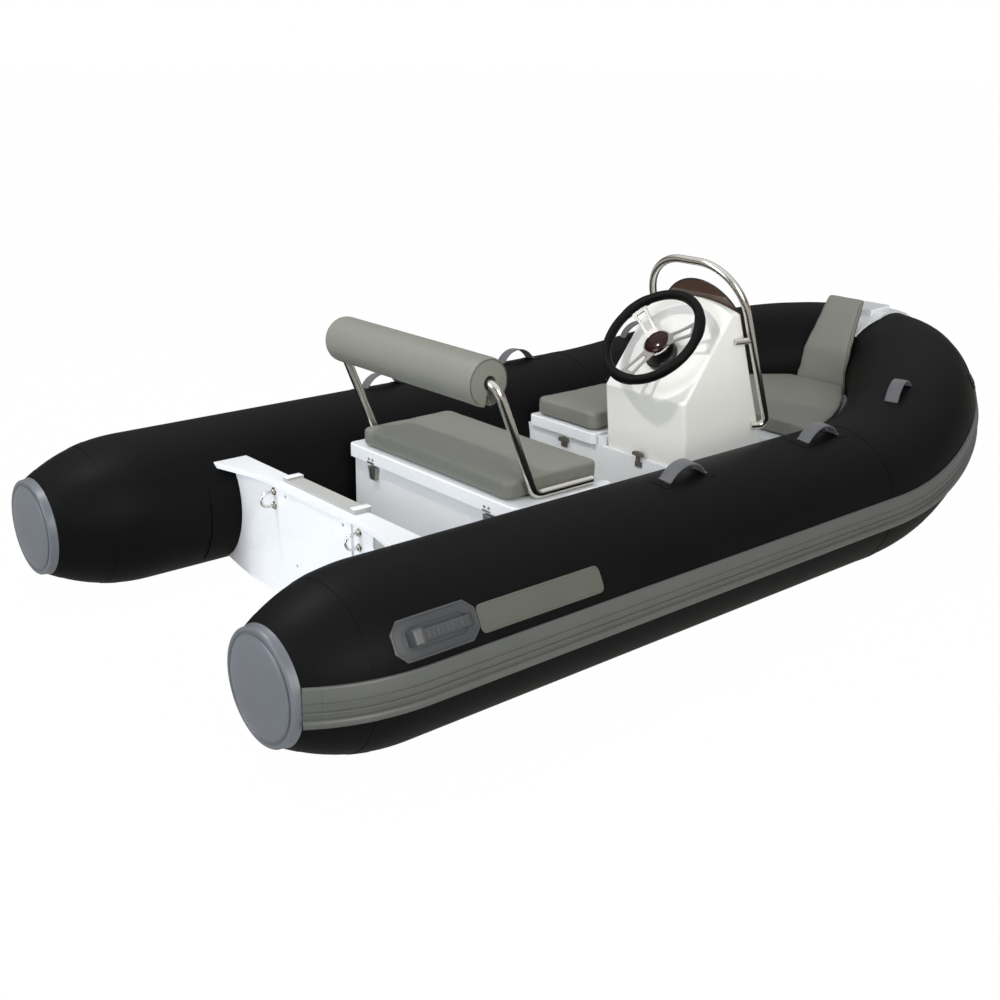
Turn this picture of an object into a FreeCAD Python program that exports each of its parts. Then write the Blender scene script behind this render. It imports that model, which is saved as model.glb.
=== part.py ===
import FreeCAD, Part
import math
import os

# Small rigid inflatable boat with a helm console, in millimetres.
# Stations (y) run forward from the plane of the stern end caps and heights (z) from
# the bottom of the straight tubes. put() moves every piece to the part's frame: +X
# starboard, +Y to the bow, +Z up, origin on the centreline at the waterline, amidships.

V = FreeCAD.Vector
X_AXIS = V(1, 0, 0)
Y_AXIS = V(0, 1, 0)
Z_AXIS = V(0, 0, 1)

# overall sizes
tube_radius = 215.0
cockpit_half_width = 393.0
tube_half_spacing = cockpit_half_width + tube_radius
straight_end = 2025.0
shoulder_radius = 1290.0
tip_radius = 322.0
bow_rise = 145.0
rise_power = 0.825
waterline = 12.0
midlength = 1650.0

# stern cones and their caps
cone_length = 280.0
cap_radius = 130.0

seat_gap = 0.3
wall = 6.0

# transom and hull
transom_rear = 527.0
motor_panel_half_width = 177.0
motor_panel_depth = 6.0
transom_thickness = 46.0
transom_top = 353.0
flange_overhang = 10.0
flange_height = 16.0
flange_flare = 69.0
flange_sweep = 280.0
flange_lip = 6.0
keel_z = -36.0
chine_half_width = 416.0
chine_z = 22.0
hull_edge_z = 44.0
sole_z = 62.0
sole_thickness = 8.0

# aft seat
aft_box_half_width = 374.0
aft_box_rear = 916.0
aft_box_front = 1254.0
aft_box_top = 342.5
lid_rim_height = 40.0
lid_overhang = 11.0
lid_wall = 5.0
rest_height = 686.0
rest_station = 851.0
rest_tube_radius = 11.0
rest_leg_x = 358.0
roll_radius = 63.5
roll_half_length = 326.0
cushion_thickness = 60.0

# midship base, port seat and console
base_rear = 1655.0
base_top = 277.0
deck_rear = 2062.0
deck_top = 305.0
port_lid_left = -381.0
port_lid_to_console = 41.0
port_lid_rear = 1639.0
port_lid_thickness = 36.0
port_cushion_thickness = 66.0
console_x = 138.0
console_half_width = 169.0
port_lid_right = console_x - console_half_width - port_lid_to_console
console_rear = 1664.0
console_front = 2034.0
port_lid_front = 2000.0
knee_station = 1638.0
knee_z = 491.0
dash_top_station = 1828.0
dash_top_z = 737.0
arch_rise = 32.0
console_round = 12.0
crown_depth = 16.0

# helm
wheel_y = 1670.0
wheel_z = 666.0
wheel_x = 133.0
wheel_rake = 46.0
wheel_radius = 159.0
rim_radius = 13.0
hub_drop = 34.0
hub_cap_height = 18.0
bezel_radius = 52.0
bezel_height = 22.0
bezel_drop = 12.0
bezel_round = 5.0
boss_foot_radius = 34.0
boss_top_radius = 24.0
boss_gap = 12.0
hub_radius = 43.0
shaft_radius = 12.0

# stainless grab rail round the console
rail_radius = 12.0
rail_stand = 23.0
rail_half_width = console_half_width + rail_stand
rail_top = 885.0
rail_top_station = 1818.0
rail_lean = 20.7
rail_foot_z = 372.0


def put(name, shape):
    """Moves a piece to the part's frame and writes it."""
    moved = shape.copy()
    moved.translate(V(0, -midlength, -waterline))
    moved.exportStep("parts/" + name + ".step")
    print(name, "solids", len(moved.Solids), "valid", moved.isValid(), "volume", round(moved.Volume / 1e6, 3))


def box(x0, x1, y0, y1, z0, z1):
    return Part.makeBox(x1 - x0, y1 - y0, z1 - z0, V(x0, y0, z0))


def face_of(points):
    return Part.Face(Part.makePolygon(points + [points[0]]))


def rod(start, end, radius):
    run = end - start
    return Part.makeCylinder(radius, run.Length, start, run)


def mirrored(shape):
    return shape.mirror(V(0, 0, 0), X_AXIS)


def both_sides(shape):
    return Part.makeCompound([shape, mirrored(shape)])


def joined(shapes):
    """One solid from pieces that meet face to face."""
    whole = shapes[0].multiFuse(shapes[1:])
    return whole.removeSplitter()


# ---------------------------------------------------------------- paths of runs and arcs
shoulder_corners = 4
tip_corners = 3
arc_share = 0.99


def rounded_route(points, radii):
    """Straight runs and tangent arcs through corner points, one radius to a corner."""
    route = []
    here = points[0]
    for k in range(1, len(points) - 1):
        corner = points[k]
        into = (corner - points[k - 1]).normalize()
        out = (points[k + 1] - corner).normalize()
        turn = into.getAngle(out)
        radius = radii[k - 1]
        reach = radius * math.tan(turn / 2)
        start = corner - into * reach
        normal = into.cross(out).normalize()
        centre = start + normal.cross(into).normalize() * radius
        if (start - here).Length > 0.001:
            route.append(("run", here, start, None, None, 0))
        here = corner + out * reach
        route.append(("arc", start, here, centre, normal, math.degrees(turn)))
    if (points[-1] - here).Length > 0.001:
        route.append(("run", here, points[-1], None, None, 0))
    return route


def fitted_radii(points):
    """The largest radii at a polygon's corners whose arcs still leave short straights."""
    radii = []
    last = len(points) - 2
    for k in range(1, last + 1):
        before = points[k] - points[k - 1]
        after = points[k + 1] - points[k]
        room_before = before.Length if k == 1 else before.Length / 2
        room_after = after.Length if k == last else after.Length / 2
        reach = arc_share * min(room_before, room_after)
        radii.append(reach / math.tan(before.getAngle(after) / 2))
    return radii


def swept(section, route):
    """Carries a flat closed wire along the route and closes the skin into one solid."""
    faces = [Part.Face(section)]
    wire = section
    for kind, start, end, centre, normal, turn in route:
        if kind == "run":
            faces += wire.extrude(end - start).Faces
            wire = wire.copy()
            wire.translate(end - start)
        else:
            faces += wire.revolve(centre, normal, turn).Faces
            wire = wire.copy()
            wire.rotate(centre, normal, turn)
    faces.append(Part.Face(wire))
    solid = Part.makeSolid(Part.makeShell(faces))
    if solid.Volume < 0:
        solid.reverse()
    return solid


def ring(centre, normal, radius):
    return Part.Wire(Part.makeCircle(radius, centre, normal))


def tube_along(points, radii, radius):
    return swept(ring(points[0], points[1] - points[0], radius), rounded_route(points, radii))


# ---------------------------------------------------------------- buoyancy tubes
# In plan each side of the bow is a wide shoulder arc and a tighter tip arc.
shoulder_x = tube_half_spacing - shoulder_radius
shoulder_turn = math.acos(-shoulder_x / (shoulder_radius - tip_radius))
tip_centre_y = straight_end + (shoulder_radius - tip_radius) * math.sin(shoulder_turn)
tip_station = tip_centre_y + tip_radius


def plan_corners():
    """Corners of the polygon that the starboard half of the bow is tangent to."""
    corners = []
    step = shoulder_turn / shoulder_corners
    far = shoulder_radius / math.cos(step / 2)
    for k in range(shoulder_corners):
        t = (k + 0.5) * step
        corners.append((shoulder_x + far * math.cos(t), straight_end + far * math.sin(t)))
    step = (math.pi / 2 - shoulder_turn) / tip_corners
    far = tip_radius / math.cos(step / 2)
    for k in range(tip_corners):
        t = shoulder_turn + (k + 0.5) * step
        corners.append((far * math.cos(t), tip_centre_y + far * math.sin(t)))
    return corners


bow_corners = plan_corners()
rise_start = bow_corners[0][1]


def rise_at(y):
    """How far the bow tube's middle has risen at a station."""
    s = (y - rise_start) / (tip_station - rise_start)
    s = min(max(s, 0.0), 1.0) ** rise_power
    return bow_rise * (1 - math.cos(math.pi * s)) / 2


tube_stern = V(tube_half_spacing, cone_length, tube_radius)
tube_joint = V(tube_half_spacing, straight_end, tube_radius)
tip_corner = bow_corners[-1]
tip_middle = V(0, tip_corner[1], tube_radius + rise_at(tip_corner[1]))
bow_points = [tube_joint] + [V(x, y, tube_radius + rise_at(y)) for x, y in bow_corners] + [tip_middle]
bow_route = rounded_route(bow_points, fitted_radii(bow_points))


def bow_tube(radius):
    half = swept(ring(tube_joint, Y_AXIS, radius), bow_route)
    return joined([half, mirrored(half)])


def cone_profile(grow):
    """Outline of a stern cone's half section, tangent to the straight tube."""
    drop = tube_radius - cap_radius
    arc_radius = (cone_length ** 2 + drop ** 2) / (2 * drop)
    middle = 0.5 * math.asin(cone_length / arc_radius)
    r_mid = tube_radius - arc_radius * (1 - math.cos(middle))
    return [
        V(cap_radius + grow, 0, 0),
        V(r_mid + grow, cone_length - arc_radius * math.sin(middle), 0),
        V(tube_radius + grow, cone_length, 0)]


def side_tube(grow):
    a, b, c = cone_profile(grow)
    edge = Part.Arc(a, b, c).toShape()
    ends = [V(0, cone_length, 0), V(0, 0, 0)]
    outline = Part.Wire([
        edge,
        Part.makeLine(c, ends[0]),
        Part.makeLine(ends[0], ends[1]),
        Part.makeLine(ends[1], a)])
    cone = Part.Face(outline).revolve(V(0, 0, 0), Y_AXIS, 360)
    cone.translate(V(tube_half_spacing, 0, tube_radius))
    straight = rod(tube_stern, tube_joint, tube_radius + grow)
    return joined([cone, straight])


tube_starboard = side_tube(0)
tube_bow = bow_tube(tube_radius)
fat_side = side_tube(seat_gap)
fat_bow = bow_tube(tube_radius + seat_gap)
fat_tubes = [fat_side, mirrored(fat_side), fat_bow]


def clear_of_tubes(shape):
    """Cuts a piece back so that it seats on the tubes with the seat gap."""
    return shape.cut(fat_tubes)


# Outline of an end cap from its rim in. Columns: distance in from the cap's radius,
# how far it stands out from the cone's end.
cap_outline = [(0, seat_gap), (0, 9), (3, 13), (10, 13), (13, 9), (35, 17), (65, 22.5), (98, 25.5)]
cap_dome = 26.0


def end_cap():
    points = [V(0, -seat_gap, 0)]
    points += [V(cap_radius - inwards, -out, 0) for inwards, out in cap_outline]
    points.append(V(0, -cap_dome, 0))
    cap = face_of(points).revolve(V(0, 0, 0), Y_AXIS, 360)
    cap.translate(V(tube_half_spacing, 0, tube_radius))
    return cap


# The strake: one section, carried round the whole boat. Columns: height from the
# tube's middle, how far it stands out from the tube.
strake_outline = [(-48, 3), (-43, 12), (-27, 12), (-21, 7), (43, 7), (48, 3)]


def strake_section(y):
    points = []
    for height, out in strake_outline:
        flat = math.sqrt((tube_radius + out) ** 2 - height ** 2)
        points.append(V(tube_half_spacing + flat, y, tube_radius + height))
    inner = tube_radius + seat_gap
    low, high = strake_outline[0][0], strake_outline[-1][0]
    base_low = V(tube_half_spacing + math.sqrt(inner ** 2 - low ** 2), y, tube_radius + low)
    base_mid = V(tube_half_spacing + inner, y, tube_radius)
    base_high = V(tube_half_spacing + math.sqrt(inner ** 2 - high ** 2), y, tube_radius + high)
    outer = Part.makePolygon([base_low] + points + [base_high])
    back = Part.Arc(base_high, base_mid, base_low).toShape()
    return Part.Wire(outer.Edges + [back])


strake_start = 10.0


def rub_strake():
    """Runs from cone to cone round the bow; on the cones it follows their curve."""
    straight = Part.Face(strake_section(cone_length)).extrude(Y_AXIS * (straight_end - cone_length))
    ahead = swept(strake_section(straight_end), bow_route)
    drop = tube_radius - cap_radius
    arc_radius = (cone_length ** 2 + drop ** 2) / (2 * drop)
    centre = V(tube_half_spacing + tube_radius - arc_radius, cone_length, tube_radius)
    sweep = math.degrees(math.asin((cone_length - strake_start) / arc_radius))
    astern = Part.Face(strake_section(cone_length)).revolve(centre, V(0, 0, -1), sweep)
    half = joined([astern, straight, ahead])
    return joined([half, mirrored(half)])


def band_on_tube(y0, y1, low, high, inner, outer):
    """A curved plate on the outside of the starboard tube between two angles."""
    plate = Part.makeCylinder(outer, y1 - y0, V(tube_half_spacing, y0, tube_radius), Y_AXIS, high - low)
    hollow = rod(V(tube_half_spacing, y0 - 1, tube_radius), V(tube_half_spacing, y1 + 1, tube_radius), inner)
    # a cylinder about +Y starts at +Z and turns towards +X
    plate.rotate(V(tube_half_spacing, 0, tube_radius), Y_AXIS, 90 - high)
    return plate.cut(hollow)


plate_y0, plate_y1 = 425.0, 805.0
plate_low, plate_high = 19.0, 36.5
plate_stand = 3.0
patch_y0, patch_y1 = 200.0, 428.0
patch_low, patch_high = 17.3, 42.0
patch_corner = 42.0
patch_stand = 6.0
patch_reach = 40.0
dish_stand = 2.5
recess_apart = 34.0
recess_share = 0.6
handle_bar_stand = 28.0
bar_radius = 9.0
bar_bend = 18.0
bar_share = 0.42
bar_foot_share = 0.62


def side_patch():
    r = tube_radius
    return band_on_tube(plate_y0 + 4, plate_y1, plate_low, plate_high, r + seat_gap, r + plate_stand)


def carry_handle():
    """An octagonal patch with a grab bar that stands over a dished middle."""
    r = tube_radius
    swing = 0.5 * (patch_low + patch_high)
    place_y = 0.5 * (patch_y0 + patch_y1)
    half_y = 0.5 * (patch_y1 - patch_y0) - 2
    half_z = r * math.radians(0.5 * (patch_high - patch_low))
    c = patch_corner * 0.5
    outline = face_of([
        V(0, -half_y, -half_z + c), V(0, -half_y, half_z - c), V(0, -half_y + c, half_z),
        V(0, half_y - c, half_z), V(0, half_y, half_z - c), V(0, half_y, -half_z + c),
        V(0, half_y - c, -half_z), V(0, -half_y + c, -half_z)])
    prism = outline.extrude(V(r + patch_reach, 0, 0))
    recess_round = half_z * recess_share
    low, high = r - patch_reach, r + patch_reach
    ends = [Part.makeCylinder(recess_round, high - low, V(low, side * recess_apart, 0), X_AXIS)
            for side in (-1, 1)]
    recess = ends[0].multiFuse([ends[1], box(low, high, -recess_apart, recess_apart,
                                             -recess_round, recess_round)])
    bar = tube_along([
        V(low, -half_y * bar_foot_share, 0), V(r + handle_bar_stand, -half_y * bar_share, 0),
        V(r + handle_bar_stand, half_y * bar_share, 0), V(low, half_y * bar_foot_share, 0)],
        [bar_bend, bar_bend], bar_radius)
    for shape in (prism, recess, bar):
        shape.rotate(V(0, 0, 0), Y_AXIS, -swing)
        shape.translate(V(tube_half_spacing, place_y, tube_radius))
    skin = side_tube(patch_stand)
    patch = prism.common(skin).cut(recess.cut(side_tube(dish_stand)))
    return patch.fuse(bar).cut(fat_side)


# strap handles
strap_half_length = 92.0
strap_half_width = 21.0
strap_thickness = 5.0
strap_rise = 40.0
strap_stations = [1307.0, 1897.0]
strap_outboard = 22.0
bow_strap_arc = 1


def strap(foot_middle, heading, pitch):
    """A strap that arches along the top of a tube; its feet are cut to the tube's round."""
    foot = 22.0
    flat = strap_half_length - foot
    w = strap_half_width
    t = strap_thickness
    outline = Part.Wire([
        Part.Arc(V(-w, -flat, 0), V(-w, 0, strap_rise), V(-w, flat, 0)).toShape(),
        Part.makeLine(V(-w, flat, 0), V(-w, flat - t - 3, 0)),
        Part.Arc(V(-w, flat - t - 3, 0), V(-w, 0, strap_rise - t), V(-w, -flat + t + 3, 0)).toShape(),
        Part.makeLine(V(-w, -flat + t + 3, 0), V(-w, -flat, 0))])
    arch = Part.Face(outline).extrude(V(2 * w, 0, 0))
    feet = [
        box(-w, w, -strap_half_length, -flat + t, -20, t),
        box(-w, w, flat - t, strap_half_length, -20, t)]
    whole = joined([arch] + feet)
    whole.rotate(V(0, 0, 0), X_AXIS, pitch)
    whole.rotate(V(0, 0, 0), Z_AXIS, heading)
    whole.translate(foot_middle)
    return whole


def bow_strap_place():
    """Middle and course of the arc of the bow's route that carries a strap."""
    arcs = [leg for leg in bow_route if leg[0] == "arc"]
    start, end, centre = arcs[bow_strap_arc][1:4]
    outward = ((start + end) / 2 - centre).normalize()
    return centre + outward * (start - centre).Length, end - start


def strap_handles():
    straps = []
    for y in strap_stations:
        straps.append(strap(V(tube_half_spacing + strap_outboard, y, 2 * tube_radius + 1), 0, 0))
    middle, course = bow_strap_place()
    heading = math.degrees(math.atan2(-course.x, course.y))
    pitch = math.degrees(math.atan2(course.z, math.hypot(course.x, course.y)))
    straps.append(strap(middle + V(0, 0, tube_radius + 2), heading, pitch))
    seated = [max(clear_of_tubes(s).Solids, key=lambda piece: piece.Volume) for s in straps]
    return Part.makeCompound(seated + [mirrored(s) for s in seated])


# air valves on the outer sides of the bow, one to each side
valve_run = 3
valve_swing = 26.0
valve_depth = 8.0
# Outline of a valve from its flange in. Columns: radius, stand-out from the tube's skin.
valve_outline = [(30, 2.0), (27, 5.0), (22, 5.0), (20, 1.2), (15, 1.2), (14, 6.0), (9, 7.5)]
valve_top = 8.0


def air_valve():
    """A flanged valve let into the tube, with a cap in the middle of its ring-shaped well."""
    runs = [leg for leg in bow_route if leg[0] == "run"]
    start, end = runs[valve_run][1:3]
    course = (end - start).normalize()
    outboard = course.cross(Z_AXIS).normalize()
    lift = outboard.cross(course).normalize()
    swing = math.radians(valve_swing)
    out = outboard * math.cos(swing) + lift * math.sin(swing)
    skin = (start + end) / 2 + out * tube_radius
    points = [skin - out * valve_depth, skin - out * valve_depth + course * valve_outline[0][0]]
    points += [skin + course * radius + out * stand for radius, stand in valve_outline]
    points.append(skin + out * valve_top)
    return clear_of_tubes(face_of(points).revolve(skin, out, 360))


# ---------------------------------------------------------------- hull and transom
hull_edge = tube_half_spacing - 78
# Columns: station, keel height, chine half width and height, edge half width and
# height where it runs into the tubes, height of the flat top.
hull_sections = [
    (transom_rear + transom_thickness, keel_z, chine_half_width, chine_z, hull_edge, hull_edge_z, sole_z),
    (deck_rear, keel_z - 2, 395, 32, hull_edge, 50, sole_z),
    (straight_end + 297, keel_z + 14, 335, 68, hull_edge - 60, 105, 130),
    (tip_station - 282, 42, 215, 132, 330, 176, 200),
    (tip_station - 32, 152, 55, 196, 120, 212, 232)]


def hull():
    wires = []
    for y, keel, chine_x, chine_z, edge_x, edge_z, top in hull_sections:
        points = [
            V(0, y, keel), V(chine_x, y, chine_z), V(edge_x, y, edge_z), V(edge_x, y, top),
            V(-edge_x, y, top), V(-edge_x, y, edge_z), V(-chine_x, y, chine_z)]
        wires.append(Part.makePolygon(points + [points[0]]))
    form = Part.makeLoft(wires, True, True)
    trimmed = clear_of_tubes(form)
    return max(trimmed.Solids, key=lambda s: s.Volume)


def keel_line(x):
    """Height of the transom's vee bottom at a distance from the centreline."""
    return keel_z + (chine_z - keel_z) * x / chine_half_width


def transom():
    """Panel with a flange along its top whose ends sweep aft, and a raised motor panel."""
    front = transom_rear + transom_thickness
    panel = face_of([
        V(0, transom_rear, keel_z), V(chine_half_width, transom_rear, chine_z),
        V(hull_edge, transom_rear, hull_edge_z), V(hull_edge, transom_rear, transom_top - flange_height),
        V(-hull_edge, transom_rear, transom_top - flange_height), V(-hull_edge, transom_rear, hull_edge_z),
        V(-chine_half_width, transom_rear, chine_z)]).extrude(Y_AXIS * transom_thickness)
    half = motor_panel_half_width
    face_y = transom_rear - motor_panel_depth
    raised = face_of([
        V(0, face_y, keel_z), V(half, face_y, keel_line(half)), V(half, face_y, transom_top - flange_height),
        V(-half, face_y, transom_top - flange_height), V(-half, face_y, keel_line(half))])
    raised = raised.extrude(Y_AXIS * motor_panel_depth)
    z0 = transom_top - flange_height
    edge = transom_rear - flange_overhang
    sweep_x = hull_edge - flange_sweep
    outline = []
    for x, back in ((hull_edge, 1.0), (sweep_x + flange_sweep / 3, 0.28), (sweep_x, 0.0)):
        outline.append(V(x, edge - back * flange_flare, z0))
    port_side = [V(-p.x, p.y, p.z) for p in outline]
    outline = port_side + list(reversed(outline))
    outline += [V(hull_edge, front + flange_lip, z0), V(-hull_edge, front + flange_lip, z0)]
    flange = face_of(outline).extrude(Z_AXIS * flange_height)
    body = joined([panel, raised, flange])
    return max(clear_of_tubes(body).Solids, key=lambda s: s.Volume)


motor_holes = [(140.0, 320.0), (89.0, 131.0)]
motor_hole_radius = 5.0


def drilled(body):
    holes = []
    for x, z in motor_holes:
        for side in (-1, 1):
            start = V(side * x, transom_rear - 2 * motor_panel_depth, z)
            holes.append(rod(start, start + Y_AXIS * 2 * transom_thickness, motor_hole_radius))
    return body.cut(holes)


def transom_pad():
    inner = transom_rear + transom_thickness + 6
    top = transom_top + seat_gap
    plate = box(-172, 172, inner - 42, inner + 8, top, top + 7)
    front = box(-172, 172, inner + seat_gap, inner + 8, top - 75, top)
    rims = [box(-172, -152, inner - 42, inner + 8, top, top + 13),
            box(152, 172, inner - 42, inner + 8, top, top + 13)]
    return joined([plate, front] + rims)


u_bolt_x = 205.0
u_bolt_z = 297.0
u_bolt_half = 20.5


def u_bolt(x):
    y = transom_rear
    low, high = u_bolt_z - u_bolt_half, u_bolt_z + u_bolt_half
    bar = tube_along([V(x, y - seat_gap, low), V(x, y - 42, low), V(x, y - 42, high), V(x, y - seat_gap, high)],
                     [18, 18], 4)
    nuts = []
    for z in (low, high):
        nuts.append(Part.makeCylinder(9, 6, V(x, y - 6 - seat_gap, z), Y_AXIS))
    return joined([bar] + nuts)


def drain_cover():
    y = transom_rear
    return box(270, 336, y - 3.3, y - seat_gap, 293, 329)


def transom_flap():
    """Doubler that laps from the transom's edge on to the tube's inner side."""
    r = tube_radius
    ring = Part.makeCylinder(r + 3, 95, V(tube_half_spacing, transom_rear - 95 - seat_gap, tube_radius), Y_AXIS)
    ring = ring.cut(rod(V(tube_half_spacing, 300, tube_radius), V(tube_half_spacing, 700, tube_radius),
                        r + seat_gap))
    keep = box(300, tube_half_spacing - 30, 400, 600, 55, 300)
    return ring.common(keep)


def cockpit_sole():
    plate = box(-520, 520, transom_rear + transom_thickness + seat_gap, base_rear - seat_gap,
                sole_z + 0.3, sole_z + 0.3 + sole_thickness)
    return max(clear_of_tubes(plate).Solids, key=lambda s: s.Volume)


# ---------------------------------------------------------------- hinges
def hinge(x0, x1, y, z, fixed_leaf, moving_leaf, parts=5):
    """Piano hinge about an X line. Leaves are boxes that reach the pin's axis."""
    pin = 2.5
    barrel = 4.5
    bore = pin + 0.3
    length = (x1 - x0) / parts
    fixed, moving = [], []
    for k in range(parts):
        a = x0 + k * length + 0.4
        b = x0 + (k + 1) * length - 0.4
        tube = rod(V(a, y, z), V(b, y, z), barrel)
        hole = rod(V(a - 1, y, z), V(b + 1, y, z), bore)
        if k % 2 == 0:
            fixed.append(tube.fuse(fixed_leaf(a, b)).fuse(rod(V(a, y, z), V(b, y, z), bore)))
        else:
            moving.append(tube.fuse(moving_leaf(a, b)).cut(hole))
    pin_rod = rod(V(x0 + 0.4, y, z), V(x1 - 0.4, y, z), pin)
    fixed_shape = pin_rod.multiFuse(fixed).removeSplitter()
    return fixed_shape, moving


# ---------------------------------------------------------------- aft seat
sole_top = sole_z + 0.3 + sole_thickness


def aft_locker():
    w = aft_box_half_width
    outer = box(-w, w, aft_box_rear, aft_box_front, sole_top + 0.3, aft_box_top)
    inner = box(-w + wall, w - wall, aft_box_rear + wall, aft_box_front - wall, sole_top + 0.3 + wall,
                aft_box_top + 1)
    return outer.cut(inner)


lid_half_width = aft_box_half_width + lid_overhang
lid_rear = aft_box_rear - lid_overhang - 6
lid_front = aft_box_front + lid_overhang
lid_bottom = aft_box_top - lid_rim_height + 5.5
lid_top = aft_box_top + 0.5 + lid_wall


def tray(x0, x1, y0, y1, z0, z1, thickness, corner):
    """A lid with a rim: rounded at its upright corners and top edges, open below."""
    outer = box(x0, x1, y0, y1, z0, z1)
    upright = [e for e in outer.Edges if abs(e.tangentAt(e.FirstParameter).z) > 0.9]
    outer = outer.makeFillet(corner, upright)
    top = [e for e in outer.Edges if e.BoundBox.ZMin > z1 - 0.01]
    outer = outer.makeFillet(thickness * 0.8, top)
    inner = box(x0 + thickness, x1 - thickness, y0 + thickness, y1 - thickness, z0 - 1, z1 - thickness)
    upright = [e for e in inner.Edges if abs(e.tangentAt(e.FirstParameter).z) > 0.9]
    inner = inner.makeFillet(corner - thickness, upright)
    return outer.cut(inner)


def aft_seat_lid():
    return tray(-lid_half_width, lid_half_width, lid_rear, lid_front, lid_bottom, lid_top, lid_wall, 18)


def cushion(x0, x1, y0, y1, z0, z1, corner=28, edge=14):
    body = box(x0, x1, y0, y1, z0, z1)
    upright = [e for e in body.Edges if abs(e.tangentAt(e.FirstParameter).z) > 0.9]
    body = body.makeFillet(corner, upright)
    top = [e for e in body.Edges if e.BoundBox.ZMin > z1 - 0.01]
    return body.makeFillet(edge, top)


aft_cushion_bottom = lid_top + 0.5


def aft_cushion():
    return cushion(-332, 332, lid_rear + 8, lid_front - 4, aft_cushion_bottom,
                   aft_cushion_bottom + cushion_thickness)


foot_z = lid_top + rest_tube_radius + 0.3
foot_front = 1200.0
foot_corner = 990.0


def backrest_frame():
    x = rest_leg_x
    points = [
        V(x, foot_front, foot_z), V(x, foot_corner, foot_z), V(x, rest_station, rest_height),
        V(-x, rest_station, rest_height), V(-x, foot_corner, foot_z), V(-x, foot_front, foot_z)]
    return tube_along(points, [34, 30, 30, 34], rest_tube_radius)


def backrest_roll():
    a = V(-roll_half_length, rest_station, rest_height)
    b = V(roll_half_length, rest_station, rest_height)
    solid = rod(a, b, roll_radius)
    return solid.cut(rod(a - X_AXIS, b + X_AXIS, rest_tube_radius + seat_gap))


catch_x = 268.0


def aft_latches():
    y = aft_box_rear - seat_gap
    shapes = []
    for x in (-catch_x, catch_x):
        top = lid_bottom - 4
        plate = face_of([V(x - 11, y, top), V(x + 11, y, top), V(x + 8, y, top - 36), V(x - 8, y, top - 36)])
        shapes.append(plate.extrude(V(0, -9, 0)))
    return Part.makeCompound(shapes)


hinge_aft_y = lid_front + 6
hinge_aft_z = lid_bottom - 4


def aft_hinge_fixed_leaf(a, b):
    plate = box(a, b, aft_box_front + seat_gap, aft_box_front + 3.3, hinge_aft_z - 40, hinge_aft_z - 2)
    web = box(a, b, aft_box_front + seat_gap, hinge_aft_y, hinge_aft_z - 4.5, hinge_aft_z - 1.5)
    return plate.fuse(web)


def aft_hinge_moving_leaf(a, b):
    return box(a, b, lid_front + seat_gap, lid_front + 3.3, hinge_aft_z, hinge_aft_z + 30)


# ---------------------------------------------------------------- midship base and bow deck
rib_left = port_lid_right + 7
rib_right = console_x - console_half_width - 9


def midship_locker():
    low = sole_z + 0.3
    outer = box(-500, 500, base_rear, deck_rear, low, base_top)
    port_hold = box(port_lid_left + 16, port_lid_right - 16, base_rear + 20, port_lid_front - 16, low + wall,
                    base_top + 1)
    console_hold = box(console_x - console_half_width + 24, console_x + console_half_width - 24,
                       base_rear + 30, console_front - 24, low + wall, base_top + 1)
    rib = box(rib_left, rib_right, base_rear, deck_rear, base_top - 1, deck_top)
    body = outer.fuse([rib]).cut([port_hold, console_hold])
    return max(clear_of_tubes(body).Solids, key=lambda s: s.Volume)


def bow_deck():
    body = box(-520, 520, deck_rear + 0.3, tip_station - tube_radius + 20, sole_z + seat_gap, deck_top)
    trimmed = clear_of_tubes(body.cut(hull_top_form()))
    return max(trimmed.Solids, key=lambda s: s.Volume)


def hull_top_form():
    """What lies under the hull's flat top forward, so that the deck stands on it."""
    wires = []
    for y, keel, chine_x, chine_z, edge_x, edge_z, top in hull_sections[1:]:
        points = [V(-700, y, -400), V(700, y, -400), V(700, y, top + 0.3), V(-700, y, top + 0.3)]
        wires.append(Part.makePolygon(points + [points[0]]))
    return Part.makeLoft(wires, True, True)


def port_seat_lid():
    return tray(port_lid_left, port_lid_right, port_lid_rear, port_lid_front, base_top + 0.5,
                port_lid_top, lid_wall, 14)


port_lid_top = base_top + 0.5 + port_lid_thickness
port_cushion_bottom = port_lid_top + 0.5


def port_cushion():
    return cushion(port_lid_left + 12, port_lid_right - 6, port_lid_rear + 4, port_lid_front - 8,
                   port_cushion_bottom, port_cushion_bottom + port_cushion_thickness)


hinge_port_y = port_lid_front + 6.5
hinge_port_z = port_lid_top - 4
hinge_console_y = console_front + 9
hinge_console_z = base_top + 10


def port_fixed_leaf(a, b):
    return box(a, b, hinge_port_y + 1, hinge_port_y + 4.5, base_top + seat_gap, hinge_port_z)


def port_moving_leaf(a, b):
    return box(a, b, port_lid_front + seat_gap, hinge_port_y, hinge_port_z - 20, hinge_port_z - 1)


# ---------------------------------------------------------------- console
console_bottom = base_top + 0.5
dash_slope = math.atan2(dash_top_z - knee_z, dash_top_station - knee_station)
crown_z = dash_top_z + arch_rise
crown_station = knee_station + (crown_z - knee_z) / math.tan(dash_slope)
front_lean = (console_front - crown_station - crown_depth) / (crown_z - console_bottom)


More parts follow.
